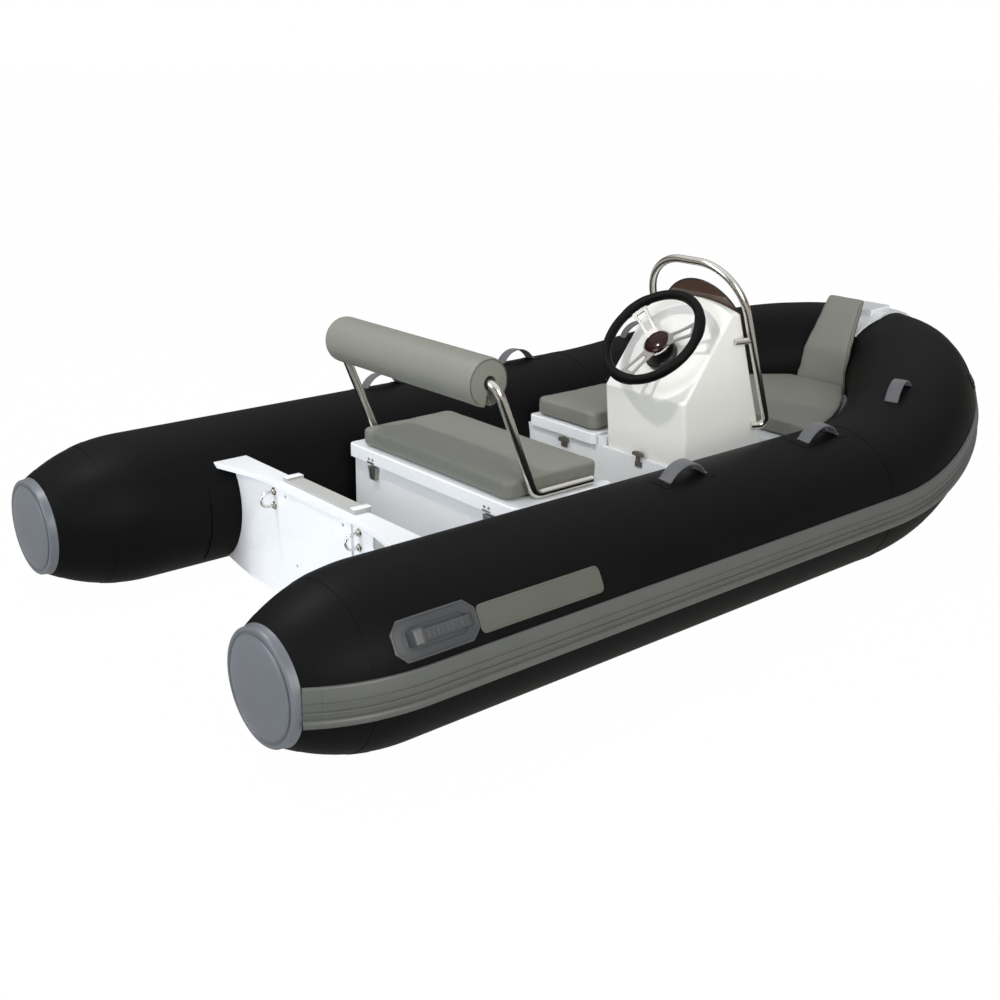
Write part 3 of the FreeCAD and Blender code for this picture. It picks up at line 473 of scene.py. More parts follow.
# a round bar along points; radii are shares of the radius
def addPipe(name, points, radius, sides, closed=False, radii=None, capped=True):
    piece = makeCurve(name, points, closed, radii)
    piece.data.bevel_depth = radius
    piece.data.bevel_resolution = sides // 2 - 2
    piece.data.use_fill_caps = capped and not closed
    return smooth(toMesh(piece), 50)


# a flat outline, (right of the path, above it), carried along points
def addSweep(name, points, outline, angle=32):
    section = makeCurve(name + "Section", [(x, y, 0) for x, y in outline], True)
    piece = makeCurve(name, points, False)
    piece.data.bevel_mode = "OBJECT"
    piece.data.bevel_object = section
    piece.data.use_fill_caps = True
    piece = toMesh(piece)
    bpy.data.objects.remove(section)
    return smooth(piece, angle)


def ownCopy(piece, name):
    twin = piece.copy()
    twin.data = piece.data.copy()
    bpy.context.scene.collection.objects.link(twin)
    twin.name = name
    twin.data.name = name
    return twin


def mirroredCopy(piece, name):
    twin = ownCopy(piece, name)
    twin.scale.x = -1
    settle(twin)
    bpy.ops.object.mode_set(mode="EDIT")
    turnOutward()
    return twin


def joinPieces(piece, *others):
    pick(piece, *others)
    bpy.ops.object.join()
    return bpy.context.object


# a merged copy of a CAD node with its edges rounded
def dressed(node, name, width, segments=3, angle=28):
    piece = ownCopy(nodes[node], name)
    piece.parent = None
    for key in list(piece.keys()):
        del piece[key]
    pick(piece)
    editAll()
    bpy.ops.mesh.remove_doubles(threshold=merging["distance"])
    bpy.ops.mesh.dissolve_limited(angle_limit=math.radians(merging["flatTo"]))
    turnOutward()
    if width:
        soften(piece, width, segments, angle)
    return crisp(piece)


def finishPiece(piece, finish, body, slot, *replaced):
    piece.data.materials.clear()
    piece.data.materials.append(finishes[finish])
    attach(piece, body)
    if replaced:
        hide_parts(*replaced)
    return piece


# a piece on the starboard side and its mirrored twin
def finishPair(piece, otherName, finish, slot, *replaced):
    other = mirroredCopy(piece, otherName)
    finishPiece(piece, finish, "boat", slot, *replaced)
    finishPiece(other, finish, "boat", slot)


# camera, floor and light
cameraSettings = {"lens": 46.58, "azimuth": 48.91, "down": 19.447, "roll": 1.03,
                  "place": (2.7665, -2.8815, 1.4904)}


def addCamera():
    turn = math.radians(cameraSettings["azimuth"])
    down = math.radians(cameraSettings["down"])
    lean = math.radians(cameraSettings["roll"])
    forward = Vector((-math.sin(turn) * math.cos(down), math.cos(turn) * math.cos(down), -math.sin(down)))
    level = Vector((math.cos(turn), math.sin(turn), 0))
    upright = level.cross(forward)
    right = level * math.cos(lean) + upright * math.sin(lean)
    up = upright * math.cos(lean) - level * math.sin(lean)
    camera = bpy.data.objects.new("camera", bpy.data.cameras.new("camera"))
    camera.data.lens = cameraSettings["lens"]
    camera.data.clip_end = 200
    camera.matrix_world = Matrix((
        (right.x, up.x, -forward.x, cameraSettings["place"][0]),
        (right.y, up.y, -forward.y, cameraSettings["place"][1]),
        (right.z, up.z, -forward.z, cameraSettings["place"][2]),
        (0, 0, 0, 1)))
    bpy.context.scene.collection.objects.link(camera)
    bpy.context.scene.camera = camera


stage = {"floorHalf": 60, "floorShade": 0.8, "whiteShare": 0.992, "fillStrength": 0.66, "floorGloss": 0.46}


# the share of a ray that comes straight from the camera, or through glass
def seenDirectly(look):
    camera = look.node("ShaderNodeLightPath", out="Is Camera Ray")
    through = look.node("ShaderNodeLightPath", out="Is Transmission Ray")
    return look.maths("MAXIMUM", camera, through)


def addFloor():
    clearSelection()
    bpy.ops.mesh.primitive_plane_add(size=2 * stage["floorHalf"], location=(0, 0, 0))
    floor = newest("floor")
    look = Finish("paleFloor")
    cloudy = look.noise(0.7, 2)
    shade = stage["floorShade"]
    matt = look.node("ShaderNodeBsdfDiffuse", {
        "Color": look.blend(cloudy, (shade, shade, shade, 1), (shade * 0.98,) * 3 + (1,))})
    mirrored = look.node("ShaderNodeEmission", {"Color": (1.0, 0.97, 0.92, 1),
                                                "Strength": stage["floorGloss"]})
    glossy = look.node("ShaderNodeLightPath", out="Is Glossy Ray")
    base = look.node("ShaderNodeMixShader", {0: glossy, 1: matt, 2: mirrored})
    white = look.node("ShaderNodeEmission", {"Color": (1, 1, 1, 1), "Strength": 1.0})
    mixed = look.node("ShaderNodeMixShader", {0: seenDirectly(look) * stage["whiteShare"], 1: base, 2: white})
    look.node("ShaderNodeOutputMaterial", {"Surface": mixed})
    floor.data.materials.append(look.material)


# plain white behind the boat, with a darker wall and a bright ceiling for polished pieces to mirror
def addRoom():
    world = bpy.data.worlds.new("softRoom")
    world.use_nodes = True
    bpy.context.scene.world = world
    room = Finish("roomLight")
    room.material, room.tree = world, world.node_tree
    room.tree.nodes.clear()
    course = room.node("ShaderNodeTexCoord", out="Generated")
    upward = room.node("ShaderNodeSeparateXYZ", {0: course}, out="Z")
    shade = room.node("ShaderNodeValToRGB", {0: upward}, stops=[
        (0.0, (0.30, 0.28, 0.25, 1)), (0.22, (0.16, 0.15, 0.14, 1)), (0.42, (0.34, 0.33, 0.31, 1)),
        (0.66, (0.80, 0.81, 0.84, 1)), (1.0, (1.0, 1.0, 1.0, 1))])
    mirrored = room.node("ShaderNodeBackground", {"Color": shade, "Strength": 1.0})
    fill = room.node("ShaderNodeBackground", {"Color": (0.93, 0.96, 1.0, 1),
                                              "Strength": stage["fillStrength"]})
    glossy = room.node("ShaderNodeLightPath", out="Is Glossy Ray")
    base = room.node("ShaderNodeMixShader", {0: glossy, 1: fill, 2: mirrored})
    white = room.node("ShaderNodeBackground", {"Color": (1, 1, 1, 1), "Strength": 1.0})
    mixed = room.node("ShaderNodeMixShader", {0: seenDirectly(room), 1: base, 2: white})
    room.node("ShaderNodeOutputWorld", {"Surface": mixed})


lamps = {  # place, size, watts, colour
    "keyLamp": ((-0.72, -1.72, 2.75), 0.15, 31, (1.0, 0.975, 0.93)),
    "sideLamp": ((4.2, -1.6, 1.9), 2.4, 105, (1.0, 0.975, 0.91)),
    "sternLamp": ((-0.6, -5.6, 2.2), 3.0, 130, (0.92, 0.96, 1.0)),
}


def addLamps():
    for name, (place, size, watts, colour) in lamps.items():
        lamp = bpy.data.lights.new(name, "AREA")
        lamp.shape = "DISK"
        lamp.size = size
        lamp.energy = watts
        lamp.color = colour
        holder = bpy.data.objects.new(name, lamp)
        holder.location = place
        holder.rotation_mode = "QUATERNION"
        holder.rotation_quaternion = (Vector((0, 0, 0.2)) - Vector(place)).to_track_quat("-Z", "Y")
        bpy.context.scene.collection.objects.link(holder)


addCamera()
addFloor()
addRoom()
addLamps()
bpy.context.scene.view_settings.view_transform = "Standard"
print("stage set")


# buoyancy tubes: the middle line of runs and arcs that the hull is built round
tube = {"radius": 0.215, "spacing": 0.608, "height": 0.203, "stern": -1.650, "straightEnd": 0.375,
        "shoulder": 1.290, "tip": 0.322, "rise": 0.145, "risePower": 0.825, "shoulderCorners": 4,
        "tipCorners": 3, "cornerSteps": 8, "arcShare": 0.99, "cone": 0.280, "capRadius": 0.130,
        "ringApart": 0.2, "sides": 80}
shoulderX = tube["spacing"] - tube["shoulder"]
shoulderTurn = math.acos(-shoulderX / (tube["shoulder"] - tube["tip"]))
tipMiddle = tube["straightEnd"] + (tube["shoulder"] - tube["tip"]) * math.sin(shoulderTurn)
tipEnd = tipMiddle + tube["tip"]


def bowCorners():
    corners = []
    step = shoulderTurn / tube["shoulderCorners"]
    for k in range(tube["shoulderCorners"]):
        far = tube["shoulder"] / math.cos(step / 2)
        t = (k + 0.5) * step
        corners.append((shoulderX + far * math.cos(t), tube["straightEnd"] + far * math.sin(t)))
    step = (math.pi / 2 - shoulderTurn) / tube["tipCorners"]
    for k in range(tube["tipCorners"]):
        far = tube["tip"] / math.cos(step / 2)
        t = shoulderTurn + (k + 0.5) * step
        corners.append((far * math.cos(t), tipMiddle + far * math.sin(t)))
    return corners


def heightAt(y, riseStart):
    share = (y - riseStart) / (tipEnd - riseStart)
    share = min(max(share, 0.0), 1.0) ** tube["risePower"]
    return tube["height"] + tube["rise"] * (1 - math.cos(math.pi * share)) / 2


# the largest radii whose arcs still fit a polygon's sides
def fittedRadii(corners):
    radii = []
    last = len(corners) - 2
    for k in range(1, last + 1):
        before = corners[k] - corners[k - 1]
        after = corners[k + 1] - corners[k]
        roomBefore = before.length / (1 if k == 1 else 2)
        roomAfter = after.length / (1 if k == last else 2)
        reach = tube["arcShare"] * min(roomBefore, roomAfter)
        radii.append(reach / math.tan(before.angle(after) / 2))
    return radii


# points along a polygon with its corners rounded
def roundedRun(corners, radii, steps):
    points = [corners[0]]
    for k in range(1, len(corners) - 1):
        before = corners[k] - corners[k - 1]
        after = corners[k + 1] - corners[k]
        turn = before.angle(after)
        axis = before.cross(after).normalized()
        start = corners[k] - before.normalized() * radii[k - 1] * math.tan(turn / 2)
        middle = start + axis.cross(before).normalized() * radii[k - 1]
        for step in range(steps + 1):
            swing = Matrix.Rotation(turn * step / steps, 3, axis)
            points.append(middle + swing @ (start - middle))
    points.append(corners[-1])
    return points


def bowCornerPoints():
    plan = bowCorners()
    riseStart = plan[0][1]
    corners = [Vector((tube["spacing"], tube["straightEnd"], tube["height"]))]
    corners += [Vector((x, y, heightAt(y, riseStart))) for x, y in plan]
    corners.append(Vector((0, plan[-1][1], heightAt(plan[-1][1], riseStart))))
    return corners


def bowLine():
    corners = bowCornerPoints()
    half = roundedRun(corners, fittedRadii(corners), tube["cornerSteps"])
    return half + [Vector((-p.x, p.y, p.z)) for p in reversed(half[:-1])]


def coneRadius(y):
    drop = tube["radius"] - tube["capRadius"]
    bend = (tube["cone"] ** 2 + drop ** 2) / (2 * drop)
    left = max(tube["cone"] - (y - tube["stern"]), 0.0)
    return tube["radius"] - (bend - math.sqrt(bend ** 2 - left ** 2))


def sternStations(first, last, step=0.02):
    coneEnd = tube["stern"] + tube["cone"]
    stations = [first]
    while stations[-1] + step < min(last, coneEnd):
        stations.append(stations[-1] + step)
    start = max(first, coneEnd)
    if last > start:
        runs = math.ceil((last - start) / tube["ringApart"])
        for k in range(1 if first >= coneEnd else 0, runs):
            stations.append(start + (last - start) * k / runs)
    stations.append(last)
    return stations


tapes = {"runs": [(-1.648, -1.608), (-1.500, -1.463), (0.352, 0.392)], "proud": 0.0009,
         "depth": 0.002, "step": 0.01}


# a ring of fabric round the starboard tube that stands a little proud of it
def addTape(first, last):
    stations = sternStations(first, last, tapes["step"])
    points = [(tube["spacing"], y, tube["height"]) for y in stations]
    radii = [(coneRadius(y) + tapes["proud"]) / tube["radius"] for y in stations]
    band = addPipe("tape", points, tube["radius"], tube["sides"], radii=radii, capped=False)
    modify(band, "SOLIDIFY", thickness=tapes["depth"], offset=-1)
    return smooth(band, 50)


bowPath = bowLine()


def buildTubes():
    stations = sternStations(tube["stern"], tube["straightEnd"])
    points = [(tube["spacing"], y, tube["height"]) for y in stations]
    radii = [coneRadius(y) / tube["radius"] for y in stations]
    side = addPipe("tubeSkinStarboard", points, tube["radius"], tube["sides"], radii=radii)
    other = mirroredCopy(side, "tubeSkinPort")
    bow = addPipe("tubeSkinBow", bowPath, tube["radius"], tube["sides"])
    finishPiece(side, "tubeFabric", "boat", "tube_fabric", "tube_starboard")
    finishPiece(other, "tubeFabric", "boat", "tube_fabric", "tube_port")
    finishPiece(bow, "tubeFabric", "boat", "tube_fabric", "tube_bow")

    # seam tapes: one by the end cap, one over the cone's seam, one over the chamber's end
    tape = joinPieces(*[addTape(first, last) for first, last in tapes["runs"]])
    tape.name = "seamTapesStarboard"
    finishPair(tape, "seamTapesPort", "tubeFabric", "tube_fabric")


buildTubes()
print("tubes made")


# end caps
capShape = {"skirt": 0.010, "skirtOut": 0.0012, "skirtThick": 0.002, "rim": 0.012, "rimOut": 0.0046,
            "groove": 0.012, "grooveDip": 0.0025, "dome": 0.026, "domeSteps": 12, "pole": 0.0008, "sides": 96}


def buildCaps():
    radius, rim = tube["capRadius"], capShape["rim"]
    skirt = coneRadius(tube["stern"] + capShape["skirt"]) + capShape["skirtOut"]
    outer = radius + capShape["rimOut"]
    outline = [
        (radius - 0.004, 0.0), (skirt - capShape["skirtThick"], -capShape["skirt"]),
        (skirt, -capShape["skirt"]), (outer, 0.001), (outer - 0.0002, rim - 0.003),
        (outer - 0.0018, rim - 0.0008), (radius, rim), (radius - 0.003, rim),
        (radius - 0.0055, rim - 0.0012), (radius - 0.007, rim - 0.0035),
        (radius - 0.0085, rim - 0.0042), (radius - 0.010, rim - 0.0038)]
    inner, low = radius - capShape["groove"], rim - capShape["grooveDip"]
    outline.append((inner, low))
    for k in range(1, capShape["domeSteps"] + 1):
        swing = k / capShape["domeSteps"] * math.pi / 2
        outline.append((inner * math.cos(swing) + capShape["pole"],
                        low + (capShape["dome"] - low) * math.sin(swing)))
    cap = addTurned("endCapStarboard", (tube["spacing"], tube["stern"], tube["height"]), (0, -1, 0),
                    outline, capShape["sides"])
    finishPair(smooth(cap, 40), "endCapPort", "capRubber", "cap_rubber", "end_caps")


buildCaps()
print("end caps made")


# rub strake: a band with two ridges and a bead, round the whole boat
strake = {"start": -1.641, "sleeveStart": -1.606, "sleeveEnd": -1.495, "sleeveProud": 0.0009,
          "step": 0.03, "backHalf": 0.044, "backDepth": 0.009,
          "beadStart": 62, "beadStep": 14.6, "beadSteps": 11}
# columns: height from the tube's middle, stand-out from the tube
strakeOutline = [
    (0.0480, 0.0010), (0.0474, 0.0044), (0.0455, 0.0058), (0.0430, 0.0060), (0.0150, 0.0058),
    (0.0138, 0.0098), (0.0108, 0.0098), (0.0096, 0.0056), (-0.0040, 0.0056), (-0.0052, 0.0098),
    (-0.0086, 0.0100), (-0.0100, 0.0058), (-0.0185, 0.0040), (-0.0220, 0.0042)]
strakeBead = {"middle": -0.0328, "radius": 0.0104, "out": 0.0036}


def strakeSection(grow):
    radius = tube["radius"]
    outline = []
    for height, out in strakeOutline:
        outline.append((height, out + grow))
    for k in range(strake["beadSteps"]):
        swing = math.radians(strake["beadStart"] - k * strake["beadStep"])
        height = strakeBead["middle"] + strakeBead["radius"] * math.sin(swing)
        outline.append((height, strakeBead["out"] + grow + strakeBead["radius"] * math.cos(swing)))
    outline += [(-0.0462, 0.0040 + grow), (-0.0480, 0.0034 + grow), (-0.0480, 0.0)]
    back = [(-strake["backHalf"], -strake["backDepth"]), (strake["backHalf"], -strake["backDepth"])]
    section = []
    for height, out in outline + back:
        section.append((math.sqrt(radius ** 2 - height ** 2) - radius + out, height))
    return section


def strakeStern(first, last):
    points = []
    for y in sternStations(first, last, strake["step"]):
        points.append(Vector((tube["spacing"] + coneRadius(y), y, tube["height"])))
    return points


def buildStrake():
    ahead = []
    for k, point in enumerate(bowPath):
        before = bowPath[max(k - 1, 0)]
        after = bowPath[min(k + 1, len(bowPath) - 1)]
        course = (after - before).normalized()
        side = Vector((course.y, -course.x, 0)).normalized()
        ahead.append(point + side * tube["radius"])
    astern = strakeStern(strake["start"], tube["straightEnd"])[:-1]
    back = [Vector((-p.x, p.y, p.z)) for p in reversed(astern)]
    whole = addSweep("rubStrake", astern + ahead + back, strakeSection(0))
    finishPiece(whole, "strakeRubber", "boat", "strake_rubber", "rub_strake")
    sleeve = addSweep("strakeSleeveStarboard", strakeStern(strake["sleeveStart"], strake["sleeveEnd"]),
                      strakeSection(strake["sleeveProud"]))
    finishPair(sleeve, "strakeSleevePort", "strakeRubber", "strake_rubber")


buildStrake()
print("rub strake made")


# patches on the tubes: a bare plate and a carry handle on each side
def wrapOnTube(piece, station, swing):
    for vertex in piece.data.vertices:
        turn = swing + vertex.co.y / tube["radius"]
        reach = coneRadius(station + vertex.co.x) + vertex.co.z
        vertex.co = (tube["spacing"] + reach * math.cos(turn), station + vertex.co.x,
                     tube["height"] + reach * math.sin(turn))
    return piece


def sliceAcross(piece, low, high, count, along="y"):
    pick(piece)
    bpy.ops.object.mode_set(mode="EDIT")
    normal = {"x": (1, 0, 0), "y": (0, 1, 0), "z": (0, 0, 1)}[along]
    for k in range(1, count):
        at = low + (high - low) * k / count
        bpy.ops.mesh.select_all(action="SELECT")
        bpy.ops.mesh.bisect(plane_co=tuple(at * n for n in normal), plane_no=normal)
    endEdit()


# a flat plate with a raised border, its corners cut or rounded
def addBorderedPlate(name, halfLong, halfWide, corner, cornerSteps, thick, border, lip):
    clearSelection()
    bpy.ops.mesh.primitive_plane_add(size=2)
    sheet = newest(name)
    sheet.scale = (halfLong, halfWide, 1)
    settle(sheet)
    editAll()
    bpy.ops.mesh.bevel(offset=corner, segments=cornerSteps, affect="VERTICES")
    bpy.ops.mesh.select_all(action="SELECT")
    extrudeBy(0, 0, thick)
    selectFaces(sheet, lambda middle, normal: normal.z > 0.9 and middle.z > thick / 2)
    bpy.ops.mesh.inset(thickness=border)
    extrudeBy(0, 0, -lip)
    bpy.ops.mesh.inset(thickness=lip)
    turnOutward()
    return sheet


plate = {"stern": -1.221, "bow": -0.845, "low": 19.0, "high": 36.5, "corner": 0.014,
         "thick": 0.0030, "border": 0.0042, "lip": 0.0012, "edge": 0.0006}
handle = {"stern": -1.448, "bow": -1.224, "low": 17.3, "high": 42.0, "corner": 0.024, "thick": 0.0048,
          "border": 0.0055, "lip": 0.0022, "dishLong": 0.088, "dishWide": 0.028, "dishLip": 0.0038,
          "barStart": -0.046, "barEnd": 0.074, "barHalf": 0.0115, "barLow": 0.015, "barHigh": 0.029,
          "knuckleHalf": 0.0165, "ribs": 9, "ribLong": 0.0045, "ribHigh": 0.0016, "ribInset": 0.007,
          "tongueRun": 0.020, "tongueDrop": 0.0135, "kneeRun": 0.007, "knuckleRun": 0.021,
          "knuckleDrop": 0.003, "legRun": 0.004, "legDrop": 0.013, "edge": 0.0028, "dishRise": 0.0022,
          "dishBorder": 0.0034, "dishRound": 0.98, "sliceHalf": 0.018, "lengthSlices": 20,
          "tongueSpread": 1.25, "tongueThin": 0.5, "knuckleTall": 1.15, "ribEdge": 0.0007,
          "patchEdge": 0.0009}


def middleSwing(piece):
    return math.radians((piece["low"] + piece["high"]) / 2)


def buildPlates():
    halfWide = tube["radius"] * math.radians(plate["high"] - plate["low"]) / 2
    piece = addBorderedPlate("namePlateStarboard", (plate["bow"] - plate["stern"]) / 2, halfWide,
                             plate["corner"], 6, plate["thick"], plate["border"], plate["lip"])
    sliceAcross(piece, -halfWide, halfWide, 12)
    wrapOnTube(piece, (plate["bow"] + plate["stern"]) / 2, middleSwing(plate))
    soften(piece, plate["edge"], 2, 40)
    finishPair(smooth(piece, 35), "namePlatePort", "patchRubber", "strake_rubber", "side_patches")


def addGrip():
    long = handle["barEnd"] - handle["barStart"]
    bar = addBlock("gripBar", ((handle["barStart"] + handle["barEnd"]) / 2, 0,
                               (handle["barLow"] + handle["barHigh"]) / 2),
                   (long, 2 * handle["barHalf"], handle["barHigh"] - handle["barLow"]))
    # the forward end dips to the patch and spreads like a tongue
    selectFaces(bar, lambda middle, normal: normal.x > 0.9)
    extrudeBy(handle["tongueRun"], 0, -handle["tongueDrop"])
    bpy.ops.transform.resize(value=(1, handle["tongueSpread"], handle["tongueThin"]))
    # the after end is a squared knuckle that goes down into the dish
    selectFaces(bar, lambda middle, normal: normal.x < -0.9)
    extrudeBy(-handle["kneeRun"], 0, 0)
    wide = handle["knuckleHalf"] / handle["barHalf"]
    bpy.ops.transform.resize(value=(1, wide, handle["knuckleTall"]))
    extrudeBy(-handle["knuckleRun"], 0, -handle["knuckleDrop"])
    selectFaces(bar, lambda middle, normal: normal.z < -0.8 and middle.x < handle["barStart"] - 0.006)
    extrudeBy(-handle["legRun"], 0, -handle["legDrop"])
    endEdit()
    soften(bar, handle["edge"], 3, 25)
    ribs = []
    for k in range(handle["ribs"]):
        at = handle["barStart"] + long * (k + 0.7) / (handle["ribs"] + 0.4)
        rib = addBlock("rib", (at, 0, handle["barHigh"]),
                       (handle["ribLong"], 2 * handle["barHalf"] - handle["ribInset"], handle["ribHigh"]))
        ribs.append(soften(rib, handle["ribEdge"], 2))
    return joinPieces(bar, *ribs)


def buildCarryHandles():
    halfLong = (handle["bow"] - handle["stern"]) / 2
    halfWide = tube["radius"] * math.radians(handle["high"] - handle["low"]) / 2
    patch = addBorderedPlate("carryPatchStarboard", halfLong, halfWide, handle["corner"], 1,
                             handle["thick"], handle["border"], handle["lip"])
    dish = addBorderedPlate("dish", handle["dishLong"], handle["dishWide"],
                            handle["dishWide"] * handle["dishRound"], 10,
                            handle["thick"] - handle["lip"] + handle["dishRise"],
                            handle["dishBorder"], handle["dishLip"])
    patch = joinPieces(patch, dish)
    patch.name = "carryPatchStarboard"
    sliceAcross(patch, -halfWide, halfWide, 18)
    sliceAcross(patch, -halfLong, halfLong, handle["lengthSlices"], along="x")
    soften(patch, handle["patchEdge"], 2, 30)
    grip = addGrip()
    grip.name = "carryGripStarboard"
    sliceAcross(grip, -handle["sliceHalf"], handle["sliceHalf"], 6)
    sliceAcross(grip, -halfLong, halfLong, handle["lengthSlices"], along="x")
    for piece in (patch, grip):
        wrapOnTube(piece, (handle["bow"] + handle["stern"]) / 2, middleSwing(handle))
        smooth(piece, 38)
    finishPair(patch, "carryPatchPort", "handleRubber", "strake_rubber", "carry_handles")
    finishPair(grip, "carryGripPort", "handleRubber", "strake_rubber")


buildPlates()
buildCarryHandles()
print("plates and carry handles made")


# strap handles on top of the tubes
strapShape = {"half": 0.074, "foot": 0.007, "width": 0.042, "thick": 0.0032, "rise": 0.038,
              "stations": [-0.378, 0.212], "portShift": -0.070, "swing": 5.9,
              "patchHalf": 0.034, "patchLong": 0.050, "patchThick": 0.0012,
              "bowInset": 0.0063, "bowSide": 0.2, "edge": 0.001, "kink": 0.004, "bends": 16,
              "footAhead": 0.012, "footCorner": 0.008, "footBorder": 0.001, "footLip": 0.0001}


def addStrap(name, middle, course, side):
    flat = strapShape["half"] - strapShape["foot"]
    rise = strapShape["rise"]
    bend = (flat ** 2 + rise ** 2) / (2 * rise)
    reach = math.asin(flat / bend)
    base = tube["radius"] + strapShape["patchThick"] + strapShape["thick"] / 2
    kink = flat + strapShape["kink"]
    points = [Vector((0, -strapShape["half"], base)), Vector((0, -kink, base))]
    for k in range(strapShape["bends"] + 1):
        swing = -reach + 2 * reach * k / strapShape["bends"]
        points.append(Vector((0, bend * math.sin(swing), base + rise - bend * (1 - math.cos(swing)))))
    points += [Vector((0, kink, base)), Vector((0, strapShape["half"], base))]
    wide, thick = strapShape["width"] / 2, strapShape["thick"] / 2
    inner = wide - strapShape["edge"]
    strap = addSweep(name, points, [
        (-wide, -thick * 0.5), (-inner, -thick), (inner, -thick), (wide, -thick * 0.5),
        (wide, thick * 0.5), (inner, thick), (-inner, thick), (-wide, thick * 0.5)], angle=40)
    patches = []
    for end in (-1, 1):
        foot = addBorderedPlate("foot", strapShape["patchLong"] / 2, strapShape["patchHalf"],
                                strapShape["footCorner"], 4, strapShape["patchThick"],
                                strapShape["footBorder"], strapShape["footLip"])
        sliceAcross(foot, -strapShape["patchHalf"], strapShape["patchHalf"], 8)
        for vertex in foot.data.vertices:
            turn = vertex.co.y / tube["radius"]
            level = tube["radius"] + vertex.co.z
            along = end * (flat + strapShape["footAhead"]) + vertex.co.x
            vertex.co = (-level * math.sin(turn), along, level * math.cos(turn))
        patches.append(foot)
    patch = joinPieces(*patches)
    patch.name = name.replace("strap", "strapFoot")
    smooth(patch, 40)
    heading = math.atan2(-course.x, course.y)
    pitch = math.atan2(course.z, math.hypot(course.x, course.y))
    turned = (Matrix.Translation(middle) @ Matrix.Rotation(heading, 4, "Z")
              @ Matrix.Rotation(pitch, 4, "X")
              @ Matrix.Rotation(side * math.radians(strapShape["swing"]), 4, "Y"))
    for piece in (strap, patch):
        piece.data.transform(turned)
    return strap, patch


def buildStraps():
    corners = bowCornerPoints()
    spots = []
    for y in strapShape["stations"]:
        spots.append((Vector((tube["spacing"], y, tube["height"])), Vector((0, 1, 0)), 1))
    before = (corners[2] - corners[1]).normalized()
    after = (corners[3] - corners[2]).normalized()
    inward = (after - before).normalized() * strapShape["bowInset"]
    spots.append((corners[2] + inward, after + before, strapShape["bowSide"]))
    for number, (middle, course, side) in enumerate(spots, 1):
        strap, patch = addStrap(f"strapStarboard{number}", middle, course, side)
        otherStrap = mirroredCopy(strap, f"strapPort{number}")
        otherPatch = mirroredCopy(patch, f"strapFootPort{number}")
        if number < len(spots):
            for piece in (otherStrap, otherPatch):
                piece.data.transform(Matrix.Translation((0, strapShape["portShift"], 0)))
        for piece in (strap, otherStrap):
            finishPiece(piece, "strapWeb", "boat", "strap_rubber")
        for piece in (patch, otherPatch):
            finishPiece(piece, "tubeFabric", "boat", "tube_fabric")
    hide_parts("strap_handles")


buildStraps()
print("strap handles made")


# hull, transom and moulded seats, from their CAD shapes with eased edges
mouldings = {  # node: (piece, body, finish, slot, edge radius, smoothing angle)
    "hull": ("hullMoulding", "boat", "gelcoat", "gelcoat", 0.0025, 35),
    "transom": ("transomMoulding", "boat", "gelcoat", "gelcoat", 0.0025, 35),
    "cockpit_sole": ("cockpitSole", "boat", "soleGrip", "sole_grip", 0.0010, 35),
    "aft_locker": ("aftLockerBox", "boat", "gelcoat", "gelcoat", 0.0020, 35),
    "aft_seat_lid": ("aftSeatLid", "aft_lid", "gelcoat", "gelcoat", 0.0, 40),
    "midship_locker": ("midshipBase", "boat", "gelcoat", "gelcoat", 0.0025, 35),
    "bow_deck": ("bowDeck", "boat", "gelcoat", "gelcoat", 0.0025, 35),
    "port_seat_lid": ("portSeatLid", "port_lid", "gelcoat", "gelcoat", 0.0, 40),
    "console": ("consoleHousing", "console", "creamGelcoat", "gelcoat", 0.0, 24),
    "bow_nose": ("bowNose", "boat", "gelcoat", "gelcoat", 0.0020, 40),
}


def buildMouldings():
    for node, (name, body, finish, slot, width, angle) in mouldings.items():
        piece = dressed(node, name, width)
        crisp(piece, angle)
        finishPiece(piece, finish, body, slot, node)


buildMouldings()
print("mouldings made")


# transom fittings
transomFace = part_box("u_bolts")[1].y  # the bolts' feet stand on the transom's after face
bolt = {"x": 0.205, "half": 0.0205, "reach": 0.042, "bar": 0.0040, "root": 0.002, "bends": 12,
        "nutHigh": 0.0062, "nutHalf": 0.0082, "nutEdge": 0.0012, "nutCrown": 0.86, "nutBore": 0.5,
        "nutRound": 0.0004,
        "washer": 0.0115, "washerHole": 0.0045, "washerThick": 0.0016, "washerEdge": 0.0006}


def boltPlaces():
    low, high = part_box("u_bolts")
    middle = (low.z + high.z) / 2
    return middle + bolt["half"], middle - bolt["half"]


